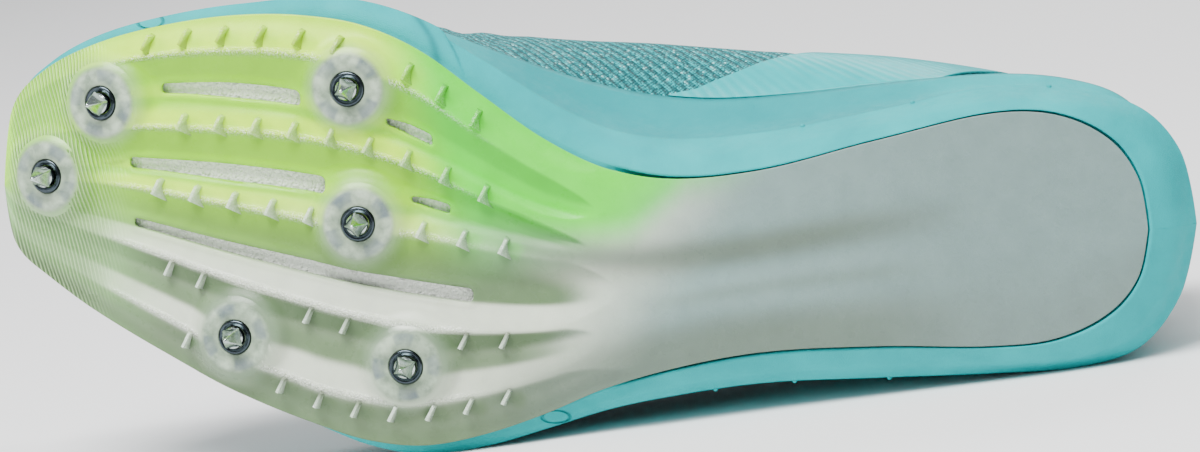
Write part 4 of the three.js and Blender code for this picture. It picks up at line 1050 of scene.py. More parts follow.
# The insole: a thin foam sheet faced with dark cloth, lying loose in the midsole's bed.
insole_thickness = 3
insole_at = even_ends(120)[6:-6]
lines = []
for side, shares in ((-1, (0.88, 0.80, 0.66, 0.5, 0.36, 0.18)), (1, (0, 0.18, 0.36, 0.5, 0.66, 0.80, 0.88))):
    lines += [bed_point(insole_at, side, share, fit) for share in shares]
top = np.stack(lines, 1)
insole = surface_piece("cloth_insole", top.reshape(-1, 3) + [0, 0, insole_thickness], top.shape[0],
                       top.shape[1])
if Vector(down_z).dot(insole.data.polygons[200].normal) > 0:
    insole.data.flip_normals()
shape_with(insole, "SOLIDIFY", thickness=(insole_thickness - 0.1) / 1000, offset=-1)
shape_with(insole, "BEVEL", width=0.0008, segments=3, limit_method="ANGLE", angle_limit=math.radians(60))


def insole_cloth():
    look, shader = new_look("dark_insole_cloth", 0.95)
    shader.inputs["Sheen Weight"].default_value = 0.3
    bench = Workbench(look)
    weave = bench.node("TexVoronoi", {"Vector": bench.place(), "Scale": 26.0}).outputs["Distance"]
    tone = bench.tones(weave, (0.1, (0.030, 0.034, 0.038)), (0.6, (0.010, 0.012, 0.014)))
    tone = bench.mix(bench.spread(bench.noise(0.8, 4), 0.45, 0.7, 0, 0.5), tone, (0.045, 0.050, 0.055))
    bench.finish(shader, tone, None, bench.bump(weave, 0.0003))
    return look


fastened(insole, insole_cloth(), "insole")

# The upper: one knitted shell from the foam to the collar, open over the instep and at the
# ankle. The knit is stretched over the last and glued down all round inside the midsole's lip.
waist_rows = [
    (0.000, -0.087, 0.450, -0.087, 0.450), (0.012, -0.262, 0.445, 0.048, 0.445),
    (0.041, -0.359, 0.433, 0.136, 0.433), (0.087, -0.427, 0.402, 0.228, 0.402),
    (0.140, -0.466, 0.366, 0.311, 0.366), (0.211, -0.493, 0.335, 0.403, 0.335),
    (0.274, -0.489, 0.329, 0.466, 0.329), (0.327, -0.461, 0.366, 0.478, 0.317),
    (0.381, -0.431, 0.427, 0.478, 0.329), (0.434, -0.414, 0.488, 0.461, 0.360),
    (0.487, -0.400, 0.537, 0.443, 0.410), (0.540, -0.392, 0.561, 0.422, 0.460),
    (0.593, -0.380, 0.573, 0.398, 0.490), (0.664, -0.365, 0.573, 0.371, 0.500),
    (0.752, -0.350, 0.567, 0.351, 0.524), (0.841, -0.314, 0.561, 0.327, 0.537),
    (0.894, -0.279, 0.561, 0.303, 0.549), (0.940, -0.223, 0.561, 0.246, 0.561),
    (0.975, -0.136, 0.567, 0.150, 0.567), (1.000, 0.005, 0.573, 0.005, 0.573)]
rail_rows = [
    (0.000, -0.097, 0.537, -0.097, 0.537, 88), (0.041, -0.087, 0.573, -0.087, 0.573, 88),
    (0.098, -0.068, 0.585, -0.068, 0.585, 88), (0.173, -0.044, 0.604, -0.044, 0.604, 88),
    (0.248, -0.024, 0.640, -0.024, 0.640, 88), (0.305, -0.010, 0.683, -0.010, 0.683, 86),
    (0.320, -0.066, 0.700, 0.050, 0.700, 83), (0.361, -0.096, 0.751, 0.085, 0.751, 78),
    (0.436, -0.124, 0.855, 0.124, 0.855, 70), (0.511, -0.146, 0.951, 0.155, 0.951, 60),
    (0.560, -0.170, 1.000, 0.183, 1.000, 52), (0.605, -0.206, 0.982, 0.228, 0.982, 46),
    (0.662, -0.248, 0.909, 0.267, 0.909, 40), (0.718, -0.272, 0.848, 0.291, 0.848, 36),
    (0.782, -0.277, 0.823, 0.291, 0.823, 34), (0.850, -0.257, 0.866, 0.272, 0.866, 34),
    (0.906, -0.218, 0.951, 0.233, 0.951, 34), (0.955, -0.160, 1.030, 0.170, 1.030, 34),
    (0.985, -0.092, 1.067, 0.102, 1.067, 34), (1.000, 0.005, 1.073, 0.005, 1.073, 34)]
waist_span = (0.009, 0.993)
rail_span = (0.049, 0.976)
throat_at, throat_top_at, eyestay_front_at = 0.305, 0.560, 0.350
collar_pad = 1.6
waist, rail_line = drawn_line(waist_rows), drawn_line(rail_rows)


def rail(at):
    row = rail_line(at).copy()
    closed = np.asarray(at) <= throat_at
    middle = (row[..., 0] + row[..., 2]) / 2
    row[..., 0] = np.where(closed, middle, row[..., 0])
    row[..., 2] = np.where(closed, middle, row[..., 2])
    return row


def last_point(at, side, rise):
    """A point on the outside of the upper: rise is 0 at the foam, 1 at the waist, 2 at the rail."""
    at, rise = np.broadcast_arrays(np.asarray(at, float), np.asarray(rise, float))
    spots = []
    for row, span in ((seat(at), seat_span), (waist(at), waist_span), (rail(at), rail_span)):
        y, z = side_of(row, side, "y"), side_of(row, side, "z")
        spots.append(np.stack([along(span, at), ball_width * y, instep_height * z], -1))
    foot, wide, head = spots
    turn = np.radians(rail_line(at)[..., 4])
    low_rise = np.clip(rise, 0, 1)
    out, up = 1 - (1 - low_rise) ** 1.6, low_rise ** 1.1
    low = mixed(foot, wide, out[..., None])
    low[..., 2] = mixed(foot[..., 2], wide[..., 2], up)
    angle = np.clip(rise - 1, 0, 1) * turn
    high = mixed(wide, head, ((1 - np.cos(angle)) / (1 - np.cos(turn)))[..., None])
    high[..., 2] = mixed(wide[..., 2], head[..., 2], np.sin(angle) / np.sin(turn))
    return np.where((rise <= 1)[..., None], low, high)


def last_normal(at, side, rise):
    d = 0.004
    at, rise = np.broadcast_arrays(np.asarray(at, float), np.asarray(rise, float))
    along_x = last_point(np.minimum(1, at + d), side, rise) - last_point(np.maximum(0, at - d), side, rise)
    along_z = last_point(at, side, np.minimum(2, rise + d)) - last_point(at, side, np.maximum(0, rise - d))
    normal = np.cross(along_x, along_z) * -side
    return normal / np.maximum(1e-9, np.linalg.norm(normal, axis=-1))[..., None]


def off_last(at, side, rise, distance):
    return last_point(at, side, rise) + last_normal(at, side, rise) * np.asarray(distance)[..., None]


def wall_thickness(points):
    place, height = points[..., 0] / sole_length, points[..., 2] / instep_height
    return wall + collar_pad * ease(place, 0.60, 0.72) * ease(height, 0.62, 0.8)


def upper_grid(at, rises):
    """Both sides of the shell as one sheet, from the inner foot over the top to the outer foot."""
    ga, gr = np.meshgrid(at, rises, indexing="ij")
    return [creased(last_point(ga, side, gr), gr, last_normal(ga, side, gr)) for side in (-1, 1)]


# Soft creases where the foot bends: the place at the foam, the lean, depth, width and how far up
flex_creases = [(80, 7, 0.45, 3.4, 1.35), (91, 8, 0.80, 3.8, 1.50), (103, 7, 0.65, 3.4, 1.45),
                (116, 5, 0.40, 3.2, 1.30),
                (206, -9, 0.55, 5.0, 1.90), (222, -7, 0.40, 4.4, 1.85)]


def creased(points, rise, normal):
    """Soft troughs with a ridge on each side, pressed into the outside of the last."""
    depth = np.zeros(points.shape[:-1])
    for place, lean, deep, width, top in flex_creases:
        off = (points[..., 0] - place - lean * rise) / width
        reach = ease(rise, 0.15, 0.55) * (1 - ease(rise, top - 0.5, top))
        depth += deep * reach * (np.exp(-off**2) - 0.35 * np.exp(-((np.abs(off) - 1.6) / 0.7) ** 2))
    return points - normal * depth[..., None]


upper_at = even_ends(200)
upper_at = np.unique(np.concatenate([upper_at, [throat_at]]))
upper_rises = np.linspace(0, 2, 49)
inner_side, outer_side = upper_grid(upper_at, upper_rises)
n_at, n_rise = len(upper_at), len(upper_rises)


def upper_shell():
    shape = bmesh.new()
    spots = {}
    place_layer = shape.verts.layers.float_vector.new("knit_place")
    for side, grid in ((-1, inner_side), (1, outer_side)):
        laid_grid = laid(grid.reshape(-1, 3)).reshape(grid.shape)
        step = np.linalg.norm(np.diff(grid, axis=1), axis=2)
        height = np.concatenate([np.zeros((n_at, 1)), np.cumsum(step, axis=1)], axis=1)
        for i in range(n_at):
            for j in range(n_rise):
                vert = shape.verts.new(laid_grid[i, j])
                vert[place_layer] = (grid[i, j, 0] / 10, height[i, j] / 10, side)
                spots[side, i, j] = vert
        for i in range(n_at - 1):
            for j in range(n_rise - 1):
                corners = [spots[side, i, j], spots[side, i + 1, j], spots[side, i + 1, j + 1],
                           spots[side, i, j + 1]]
                shape.faces.new(corners if side > 0 else corners[::-1])
    bmesh.ops.remove_doubles(shape, verts=shape.verts, dist=0.00002)
    for face in shape.faces:
        face.smooth = True
    mesh = bpy.data.meshes.new("knit_upper")
    shape.to_mesh(mesh)
    shape.free()
    piece = bpy.data.objects.new("knit_upper", mesh)
    bpy.context.scene.collection.objects.link(piece)
    return piece


upper = upper_shell()
outward = laid([[150, 60, 30]])[0] - laid([[150, 0, 30]])[0]
probe = max(upper.data.polygons, key=lambda face: Vector(outward).dot(face.center))
if Vector(outward).dot(probe.normal) < 0:
    upper.data.flip_normals()
# the wall is thicker at the padded collar
take_hold(upper)
pad = upper.vertex_groups.new(name="wall_thickness")
spots = record_shoe_place(upper)
for i, thick in enumerate(wall_thickness(spots) / (wall + collar_pad)):
    pad.add([i], float(thick), "REPLACE")
upper.data.materials.append(None)
upper.data.materials.append(None)
shape_with(upper, "SOLIDIFY", thickness=(wall + collar_pad) / 1000, offset=-1, vertex_group="wall_thickness",
           material_offset=1, material_offset_rim=0)


def teal_knit():
    look, shader = new_look("teal_knit", 0.72)
    shader.inputs["Sheen Weight"].default_value = 0.05
    bench = Workbench(look)
    spot = bench.attribute("knit_place", "Vector")
    leaning = bench.node("Mapping", {"Vector": spot, "Rotation": (0, 0, math.radians(-48))}).outputs[0]
    wales = bench.node("TexWave", {"Vector": leaning, "Scale": 1.55, "Distortion": 1.1, "Detail": 2.0,
                                   "Detail Scale": 2.5}, bands_direction="X").outputs["Fac"]
    loops = bench.node("TexVoronoi", {"Vector": leaning, "Scale": 15.0, "Randomness": 0.45}).outputs
    stitches = loops["Distance"]
    loop_tone = bench.node("SeparateColor", {"Color": loops["Color"]}).outputs[0]
    # the palest loops are painted glints
    tone = bench.tones(loop_tone, (0.0, (0.003, 0.21, 0.225)), (0.5, (0.006, 0.38, 0.395)),
                       (0.88, (0.015, 0.48, 0.50)), (0.97, (0.26, 0.70, 0.70)))
    tone = bench.mix(bench.spread(wales, 0.45, 0.05, 0, 0.85), tone, (0.006, 0.075, 0.085))
    tone = bench.mix(bench.spread(stitches, 0.42, 0.62, 0, 0.85), tone, (0.010, 0.05, 0.055))
    normal = bench.bump(bench.math("SUBTRACT", 1.0, stitches), 0.0006, 0.8)
    normal = bench.bump(wales, 0.0007, 0.7, under=normal)
    bench.finish(shader, tone, bench.spread(loop_tone, 0.0, 1.0, 0.75, 0.42), normal)
    return look


def lining_cloth():
    look, shader = new_look("lining_cloth", 0.9)
    shader.inputs["Sheen Weight"].default_value = 0.2
    bench = Workbench(look)
    net = bench.node("TexVoronoi", {"Vector": bench.place(), "Scale": 22.0,
                                    "Randomness": 0.2}).outputs["Distance"]
    tone = bench.tones(bench.noise(2, 4), (0.3, (0.006, 0.13, 0.15)), (0.7, (0.012, 0.19, 0.21)))
    tone = bench.mix(bench.spread(net, 0.25, 0.1, 0, 0.5), tone, (0.004, 0.05, 0.06))
    bench.finish(shader, tone, None, bench.bump(net, 0.0004))
    return look


upper.data.materials[0], upper.data.materials[1] = teal_knit(), lining_cloth()
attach(upper, "root")
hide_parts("upper")

# The tongue: a padded cloth tab sewn in at the front of the throat. It follows the last under
# the eyestay and its end stands free over the instep.
tongue_thickness = 2.6
tongue_front_at = 0.270
tongue_free = 14


def tongue_pad():
    rises = np.concatenate([np.linspace(1.66, 2, 12)])
    gap = wall + fit + 0.2
    at = np.linspace(tongue_front_at + 0.012, throat_top_at, 46)

    def row(depth):
        inner = [off_last(at, -1, rise, -np.full(at.shape, depth)) for rise in rises]
        outer = [off_last(at, 1, rise, -np.full(at.shape, depth)) for rise in rises]
        wide = np.linalg.norm(inner[-1] - outer[-1], axis=-1)
        bridge = []
        for t in np.linspace(0, 1, 11)[1:-1]:
            spot = mixed(inner[-1], outer[-1], t)
            spot[..., 2] += 0.24 * t * (1 - t) * wide
            bridge.append(spot)
        return np.stack([*inner, *bridge, *outer[::-1]], 1)

    top = row(gap)
    end = top[-1]
    middle = end[len(end) // 2]
    free = []
    for reach in np.linspace(0, 1, 13)[1:]:
        narrow = np.interp(reach, [0, 0.3, 0.7, 0.9, 1], [0.86, 0.80, 0.76, 0.70, 0.52])
        spot = end.copy()
        spot[:, 0] += tongue_free * reach * 0.86
        spot[:, 1] = mixed(middle[1], end[:, 1], narrow)
        spot[:, 2] += tongue_free * reach * 0.62 - 2 * (1 - narrow) * reach
        free.append(spot)
    sheet = np.concatenate([top, np.stack(free)])
    piece = surface_piece("padded_tongue", sheet.reshape(-1, 3), sheet.shape[0], sheet.shape[1])
    upward = laid([[150, 0, 60]])[0] - laid([[150, 0, 0]])[0]
    if Vector(upward).dot(piece.data.polygons[len(piece.data.polygons) // 2].normal) < 0:
        piece.data.flip_normals()
    shape_with(piece, "SOLIDIFY", thickness=tongue_thickness / 1000, offset=-1)
    shape_with(piece, "BEVEL", width=0.0009, segments=3, limit_method="ANGLE", angle_limit=math.radians(60))
    return piece


tongue = tongue_pad()


def tongue_cloth():
    look, shader = new_look("tongue_cloth", 0.85)
    shader.inputs["Sheen Weight"].default_value = 0.4
    bench = Workbench(look)
    mesh_holes = bench.node("TexVoronoi", {"Vector": bench.place(), "Scale": 9.0,
                                           "Randomness": 0.15}).outputs["Distance"]
    fine = bench.noise(40, 3)
    tone = bench.tones(fine, (0.3, (0.010, 0.24, 0.27)), (0.7, (0.022, 0.36, 0.39)))
    tone = bench.mix(bench.spread(mesh_holes, 0.22, 0.12, 0, 0.6), tone, (0.008, 0.07, 0.08))
    normal = bench.bump(fine, 0.0002)
    bench.finish(shader, tone, None, bench.bump(mesh_holes, 0.0006, 0.7, under=normal))
    return look


fastened(tongue, tongue_cloth(), "tongue")

# Smooth films are melted on to the outside of the knit: a saddle on each side of the arch and
# heel, and a U round the throat that carries the eyelets.
film_thickness = 0.6
saddle_front, saddle_rear = 0.562, 0.86
film_gap = 0.12
eyestay_width, eyestay_hem = 9, 1.2


def film_sheet(name, side, at, low, high, steps, gap=film_gap):
    ga, gt = np.meshgrid(at, np.linspace(0, 1, steps + 1), indexing="ij")
    rise = mixed(low(ga), high(ga), gt)
    grid = off_last(ga, side, rise, np.full(ga.shape, gap + film_thickness))
    piece = surface_piece(name, grid.reshape(-1, 3), *ga.shape)
    return piece


def saddle_high(at):
    return np.interp(at, [saddle_front, 0.585, 0.62, 0.66, 0.70, 0.735, 0.78, 0.81, saddle_rear],
                     [0.07, 0.16, 0.42, 0.80, 1.22, 1.66, 1.76, 1.74, 1.62])


def saddle_low(at):
    """The rear end slopes back from the foam to the collar."""
    return np.interp(at, [saddle_front, 0.795, saddle_rear], [0.06, 0.06, 1.56])


def film_finish(piece):
    turn_faces_out(piece)
    centre = Vector(laid([[170, 0, 40]])[0])
    face = piece.data.polygons[len(piece.data.polygons) // 2]
    if (face.center - centre).dot(face.normal) < 0:
        piece.data.flip_normals()
    shape_with(piece, "SOLIDIFY", thickness=film_thickness / 1000, offset=-1)
    return piece


def saddle(side, name):
    at = np.linspace(saddle_front, saddle_rear, 110)
    sheet = film_sheet(name, side, at, saddle_low, saddle_high, 40)
    return film_finish(sheet)


saddle_inner = saddle(-1, "saddle_film_inner")
saddle_outer = saddle(1, "saddle_film_outer")


def throat_edge(at, side, inward):
    """Rise on the last at a distance down from the throat's edge, in millimetres."""
    step = np.linalg.norm(last_point(at, side, np.full(at.shape,
                                                       2.0)) - last_point(at, side,
                                                                          np.full(at.shape, 1.9)), axis=-1)
    return 2 - 0.1 * inward / np.maximum(step, 0.2)


def eyestay_film():
    at = np.concatenate([np.linspace(0.272, 0.300, 8), np.linspace(throat_at + 0.003, throat_top_at, 50)])
    sheets = []
    for side in (-1, 1):
        ga, gt = np.meshgrid(at, np.linspace(0, 1, 15), indexing="ij")
        rounded = np.sqrt(np.clip(1 - ((throat_at - ga) / 0.036) ** 2, 0.02, 1))
        low = throat_edge(ga, side, eyestay_width * np.where(ga < throat_at, rounded, 1))
        high = throat_edge(ga, side, np.where(ga > throat_at, eyestay_hem, 0.0))
        grid = off_last(ga, side, np.clip(mixed(low, high, gt), 0, 2),
                        np.full(ga.shape, film_gap + film_thickness))
        sheets.append(surface_piece("eyestay_side", grid.reshape(-1, 3), *ga.shape))
    piece = joined(sheets, "eyestay_film")
    turn_faces_out(piece, merge=0.0005)
    upward = laid([[150, 0, 60]])[0] - laid([[150, 0, 0]])[0]
    if sum(Vector(upward).dot(face.normal) for face in piece.data.polygons) < 0:
        piece.data.flip_normals()
    shape_with(piece, "SOLIDIFY", thickness=film_thickness / 1000, offset=-1)
    return piece


eyestay = eyestay_film()


def teal_film():
    look, shader = new_look("teal_film", 0.40, coat=0.10, coat_rough=0.25, shine=0.15)
    bench = Workbench(look)
    leaning = bench.node("Mapping", {"Vector": bench.place(),
                                     "Rotation": (0, math.radians(52), 0)}).outputs[0]
    ghost = bench.node("TexWave", {"Vector": leaning, "Scale": 1.6, "Distortion": 0.8, "Detail": 1.0},
                       bands_direction="X").outputs["Fac"]
    tone = bench.tones(bench.noise(1.4, 3), (0.3, (0.002, 0.345, 0.36)), (0.7, (0.003, 0.40, 0.415)))
    tone = bench.mix(bench.math("MULTIPLY", ghost, 0.14), tone, (0.02, 0.48, 0.49))
    normal = bench.bump(ghost, 0.00016, 0.5)
    bench.finish(shader, tone, bench.spread(bench.noise(7, 3), 0.3, 0.7, 0.28, 0.42),
                 bench.bump(bench.noise(30, 2), 0.00005, under=normal))
    return look


film_look = teal_film()
fastened(saddle_inner, film_look, "saddle_inner")
fastened(saddle_outer, film_look, "saddle_outer")
fastened(eyestay, film_look, "eyestay")

# The eyelets: small painted rings, six a side, pressed through the film and the knit.
eyelet_rows = 6
eyelet_inward = 4.4
eyelet_ring, eyelet_hole = 2.3, 1.35


def eyelet_place(i):
    return mixed(eyestay_front_at + 0.012, throat_top_at - 0.010, i / (eyelet_rows - 1))


def eyelet_frame(i, side):
    """The eyelet's middle on the film and its outward direction."""
    at = np.array([eyelet_place(i)])
    rise = throat_edge(at, side, np.array([eyelet_inward]))
    spot = off_last(at, side, rise, np.array([film_gap + film_thickness]))[0]
    return spot, last_normal(at, side, rise)[0]


def eyelet(i, side):
    r, R = eyelet_hole, eyelet_ring
    profile = [(0, -0.62), (r, -0.6), (r, 0.10), (r + 0.14, 0.34), (r + 0.42, 0.46), (R - 0.25, 0.30),
               (R, 0.05), (R, -0.15)]
    piece = turned("eyelet_%d_%d" % (i, side), profile, 40)
    spot, normal = eyelet_frame(i, side)
    place = Matrix.Translation(spot) @ Vector(normal).to_track_quat("Z", "Y").to_matrix().to_4x4()
    # the hole's inside is painted in shade
    keep_value(piece, "hollow", [float(v.co.z < -0.5 or math.hypot(v.co.x, v.co.y) < r
                                       + 0.05) for v in piece.data.vertices])
    return settle(piece, place)


def eyelet_paint():
    look, shader = new_look("eyelet_paint", 0.38, coat=0.1)
    bench = Workbench(look)
    tone = bench.tones(bench.noise(12, 3), (0.3, (0.010, 0.20, 0.22)), (0.7, (0.016, 0.27, 0.29)))
    # painted shade inside the hole
    tone = bench.mix(bench.attribute("hollow"), tone, (0.004, 0.010, 0.012))
    bench.finish(shader, tone, None, bench.bump(bench.noise(40, 2), 0.00003))
    return look


eyelets = joined([eyelet(i, side) for i in range(eyelet_rows) for side in (-1, 1)], "eyelets")
record_shoe_place(eyelets)
fastened(eyelets, eyelet_paint(), None)

# The lace: a flat woven cord that runs through six pairs of eyelets and crosses over the
# tongue. Its two ends go down through the top pair and lie hidden under the eyestay.
lace_wide, lace_thick = 3.4, 1.1


def lace_tube(points, wide, thick, steps=14):
    """A flat woven cord along a line, its flat side towards the shoe's top."""
    points = np.array(points)
    ahead = np.gradient(points, axis=0)
    ahead /= np.linalg.norm(ahead, axis=1)[:, None]
    up = points - np.stack([points[:, 0], np.zeros(len(points)), np.full(len(points), 22.0)], -1)
    across_lace = np.cross(up, ahead)
    across_lace /= np.linalg.norm(across_lace, axis=1)[:, None]
    top = np.cross(ahead, across_lace)
    turn = 2 * np.pi * np.arange(steps) / steps
    side_part = np.sign(np.cos(turn)) * np.abs(np.cos(turn)) ** 0.8 * wide[:, None] / 2
    top_part = np.sign(np.sin(turn)) * np.abs(np.sin(turn)) ** 0.8 * thick[:, None] / 2
    grid = points[:, None, :] + side_part[..., None] * across_lace[:, None,
                                                                   :] + top_part[..., None] * top[:, None, :]
    piece = surface_piece("lace_run", grid.reshape(-1, 3), len(points), steps, closed=True)
    along_lace = np.concatenate([[0], np.cumsum(np.linalg.norm(np.diff(points, axis=0), axis=1))])
    place = np.stack(np.broadcast_arrays(along_lace[:, None], side_part, top_part), -1).reshape(-1, 3) / 10
    layer = piece.data.attributes.new("weave_place", "FLOAT_VECTOR", "POINT")
    layer.data.foreach_set("vector", place[:len(piece.data.vertices)].ravel())
    turn_faces_out(piece)
    return piece


def lace_run(start, end, arch, under):
    """One crossing: up out of an eyelet, over the tongue and down into the other side's."""
    (a, na), (b, nb) = eyelet_frame(start, -1), eyelet_frame(end, 1)
    step = lace_thick * (0.75 + under)
    mid = (a + b) / 2 + [0, 0, arch]
    points = [a - na * 0.9, a + na * 0.5, a + na * step + (b - a) * 0.05,
              mixed(a, mid, 0.62) + [0, 0, 0.30 * arch + step],
              mid + [0, 0, step], mixed(b, mid, 0.62) + [0, 0,
                                                         0.30 * arch + step], b + nb * step + (a - b) * 0.05,
              b + nb * 0.5, b - nb * 0.9]
    line = np.array(through(points, 7))
    share = np.linspace(0, 1, len(line))
    open_out = ease(np.minimum(share, 1 - share), 0.06, 0.20)
    return lace_tube(line, mixed(1.9, lace_wide, open_out), mixed(1.5, lace_thick, open_out))


def middle_arch(i, j):
    a, b = eyelet_frame(i, -1)[0], eyelet_frame(j, 1)[0]
    at = np.array([mixed(eyelet_place(i), eyelet_place(j), 0.5)])
    crown = (off_last(at, -1, np.array([2.0]), np.array([0.6]))[0]
             + off_last(at, 1, np.array([2.0]), np.array([0.6]))[0]) / 2
    return max(1.0, crown[2] - (a[2] + b[2]) / 2 + 0.9)


runs = [lace_run(0, 0, middle_arch(0, 0), 0.0)]
for i in range(eyelet_rows - 1):
    runs += [lace_run(i, i + 1, middle_arch(i, i + 1), 0.0), lace_run(i + 1, i, middle_arch(i + 1, i), 1.15)]
lace = joined(runs, "flat_lace")
record_shoe_place(lace)


def woven_lace():
    look, shader = new_look("woven_lace", 0.8)
    shader.inputs["Sheen Weight"].default_value = 0.2
    bench = Workbench(look)
    spot = bench.attribute("weave_place", "Vector")
    weave = bench.node("TexVoronoi", {"Vector": spot, "Scale": 16.0, "Randomness": 0.15}).outputs["Distance"]
    slanted = bench.node("Mapping", {"Vector": spot, "Rotation": (0, 0, math.radians(38))}).outputs[0]
    twill = bench.node("TexWave", {"Vector": slanted, "Scale": 3.4}, bands_direction="X").outputs["Fac"]
    tone = bench.tones(weave, (0.2, (0.70, 0.78, 0.76)), (0.7, (0.36, 0.46, 0.46)))
    tone = bench.mix(bench.math("MULTIPLY", twill, 0.35), tone, (0.30, 0.42, 0.42))
    normal = bench.bump(twill, 0.00025, 0.6)
    bench.finish(shader, tone, None, bench.bump(weave, 0.0003, under=normal))
    return look


fastened(lace, woven_lace(), "lace")

# The collar's binding: a soft folded tape sewn over the edge of the padded collar, with its
# row of stitches just below.


def collar_line(side, depth):
    at = np.concatenate([np.linspace(throat_top_at + 0.002, 0.94, 90),
                         1 - 0.06 * np.linspace(1, 0, 50)[1:] ** 1.6])
    return at, off_last(at, side, np.full(at.shape, 2.0), np.full(at.shape, -depth))


def collar_binding():
    edges = []
    for side in (-1, 1):
        at, edge = collar_line(side, 0.0)
        low = last_point(at, side, np.full(at.shape, 1.93))
        normal = last_normal(at, side, np.full(at.shape, 1.99))
        thick = wall_thickness(edge)[:, None]
        up = edge - low
        up /= np.linalg.norm(up, axis=1)[:, None]
        outside = [(0.32, -3.6), (0.36, -2.4), (0.36, -0.9), (0.30, 0.0), (-0.15, 0.60), (-0.5, 0.78)]
        inside = [(0.5, 0.78), (0.15, 0.60), (-0.30, 0.0), (-0.36, -0.9), (-0.36, -2.4), (-0.32, -3.6)]
        loop = [edge + normal * o + up * h for o, h in outside]
        loop += [edge - normal * (thick - o) + up * h for o, h in inside]
        edges.append(np.stack(loop, 1))
    strip = np.concatenate([edges[0], edges[1][::-1][1:]])
    piece = surface_piece("collar_binding", strip.reshape(-1, 3), strip.shape[0], strip.shape[1])
    turn_faces_out(piece)
    shape_with(piece, "SUBSURF", levels=1, render_levels=1)
    return piece


binding = collar_binding()
record_shoe_place(binding)


def binding_tape():
    look, shader = new_look("binding_tape", 0.85)
    shader.inputs["Sheen Weight"].default_value = 0.2
    bench = Workbench(look)
    ribs = bench.node("TexWave", {"Vector": bench.place(), "Scale": 5.5, "Distortion": 0.4},
                      bands_direction="X").outputs["Fac"]
    tone = bench.tones(bench.noise(6, 4), (0.3, (0.005, 0.25, 0.27)), (0.7, (0.010, 0.34, 0.36)))
    tone = bench.mix(bench.math("MULTIPLY", ribs, 0.35), tone, (0.004, 0.14, 0.16))
    bench.finish(shader, tone, None, bench.bump(ribs, 0.0003, 0.6))
    return look


fastened(binding, binding_tape(), None)


def stitch(spot, ahead, outward, size=(1.9, 0.42)):
    """One thread loop, half sunk into the cloth."""
    bpy.ops.object.select_all(action="DESELECT")
    bpy.ops.mesh.primitive_uv_sphere_add(segments=8, ring_count=6, radius=1)
    piece = bpy.context.object
    length, round_ = size
    x_axis = Vector(ahead).normalized()
    z_axis = Vector(outward)
    z_axis = (z_axis - x_axis * x_axis.dot(z_axis)).normalized()
    y_axis = z_axis.cross(x_axis)
    turn = Matrix((x_axis, y_axis, z_axis)).transposed().to_4x4()
    bpy.ops.object.shade_smooth()
    return settle(piece, Matrix.Translation(spot) @ turn
                  @ Matrix.Diagonal((length / 2, round_ / 2, round_ * 0.42, 1)))


def stitch_row(lines, pitch):
    made = []
    for line, outward in lines:
        reach = np.concatenate([[0], np.cumsum(np.linalg.norm(np.diff(line, axis=0), axis=1))])
        for at in np.arange(pitch, reach[-1] - pitch / 2, pitch):
            spot = np.array([np.interp(at, reach, line[:, k]) for k in range(3)])
            ahead = np.array([np.interp(at + 0.5, reach, line[:, k]) for k in range(3)]) - spot
            normal = np.array([np.interp(at, reach, outward[:, k]) for k in range(3)])
            made.append(stitch(spot, ahead, normal))
    return made


stitch_lines = []
for side in (-1, 1):
    at = np.linspace(throat_top_at + 0.006, 1.0, 160)
    edge = last_point(at, side, np.full(at.shape, 2.0))
    drop = np.linalg.norm(edge - last_point(at, side, np.full(at.shape, 1.9)), axis=1)
    rise = 2 - 0.1 * 2.6 / drop
    stitch_lines.append((off_last(at, side, rise, np.full(at.shape, 0.42)), last_normal(at, side, rise)))
stitches = joined(stitch_row(stitch_lines, 2.7), "collar_stitches")
record_shoe_place(stitches)


def thread():
    look, shader = new_look("teal_thread", 0.7)
    bench = Workbench(look)
    tone = bench.tones(bench.noise(30, 2), (0.3, (0.02, 0.42, 0.44)), (0.7, (0.05, 0.60, 0.61)))
    bench.finish(shader, tone, None, bench.bump(bench.noise(60, 2), 0.0001))
    return look


fastened(stitches, thread(), None)

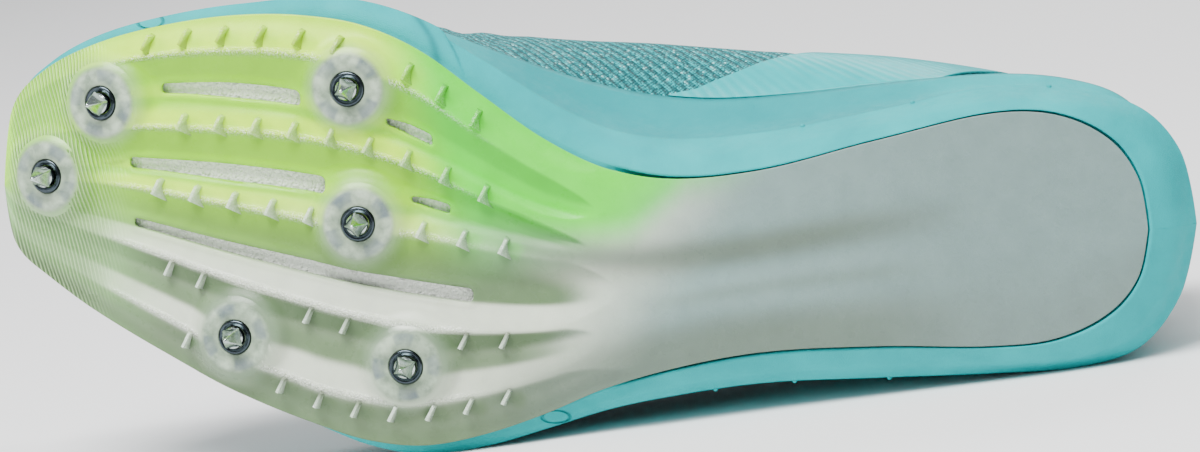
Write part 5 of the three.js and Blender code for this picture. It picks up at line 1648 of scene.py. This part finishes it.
# The floor is plain and pale. Four soft area lights and a dim sky light the shoe,
# the strongest of them overhead on the sole's side.
bpy.ops.object.select_all(action="DESELECT")
bpy.ops.mesh.primitive_plane_add(size=12, location=(0, 0, 0))
floor = bpy.context.object
floor.name = "floor"
floor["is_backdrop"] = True
floor_paint = bpy.data.materials.new("pale_floor")
floor_paint.use_nodes = True
floor_paint.node_tree.nodes["Principled BSDF"].inputs["Base Color"].default_value = (0.88, 0.88, 0.88, 1)
floor_paint.node_tree.nodes["Principled BSDF"].inputs["Roughness"].default_value = 0.8
floor.data.materials.append(floor_paint)

world = bpy.data.worlds.new("soft_room")
bpy.context.scene.world = world
world.use_nodes = True
world.node_tree.nodes["Background"].inputs["Color"].default_value = (0.93, 0.96, 1, 1)
world.node_tree.nodes["Background"].inputs["Strength"].default_value = 0.35


def soft_light(name, place, aim, size, power):
    light = bpy.data.lights.new(name, "AREA")
    light.shape = "RECTANGLE"
    light.size, light.size_y = size
    light.energy = power
    lamp = bpy.data.objects.new(name, light)
    lamp.location = place
    lamp.rotation_euler = (Vector(aim) - Vector(place)).to_track_quat("-Z", "Y").to_euler()
    bpy.context.scene.collection.objects.link(lamp)


soft_light("light_overhead", (-0.35, -0.80, 1.50), (0, 0, 0.05), (1.1, 0.7), 60)
soft_light("light_left", (-1.5, -0.9, 0.6), (0, 0, 0.05), (0.8, 0.8), 7)
soft_light("light_strip", (0.1, -0.55, 1.1), (0, 0, 0.05), (1.6, 0.10), 9)
soft_light("light_behind", (0.4, 1.4, 1.2), (0, 0, 0.05), (1.2, 0.8), 16)

# The camera looks square on to the sole, as the photograph does
camera_lens, camera_reach = 152.6, 1200
camera_data = bpy.data.cameras.new("camera")
camera_data.sensor_width = 36
camera_data.lens = camera_lens
camera_data.clip_start = 0.01
camera = bpy.data.objects.new("camera", camera_data)
bpy.context.scene.collection.objects.link(camera)
look_at = np.array([147, -0.47, 5.0])
to_camera = np.array([0.10386, -0.1132, -0.98812])
right = np.array([1, 0, 0]) - to_camera * to_camera[0]
right /= np.linalg.norm(right)
up = np.cross(to_camera, right)
stand = laid([look_at + to_camera * camera_reach])[0]
turn = lie_down[:, :3]
camera.matrix_world = Matrix([
    [*(v for v in row), p] for row, p in zip(np.stack([turn @ right, turn @ up, turn @ to_camera], 1), stand)]
    + [[0, 0, 0, 1]])
bpy.context.scene.camera = camera

[[[float(v) for v in corner] for corner in pair] for pair in (cad_box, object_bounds())]
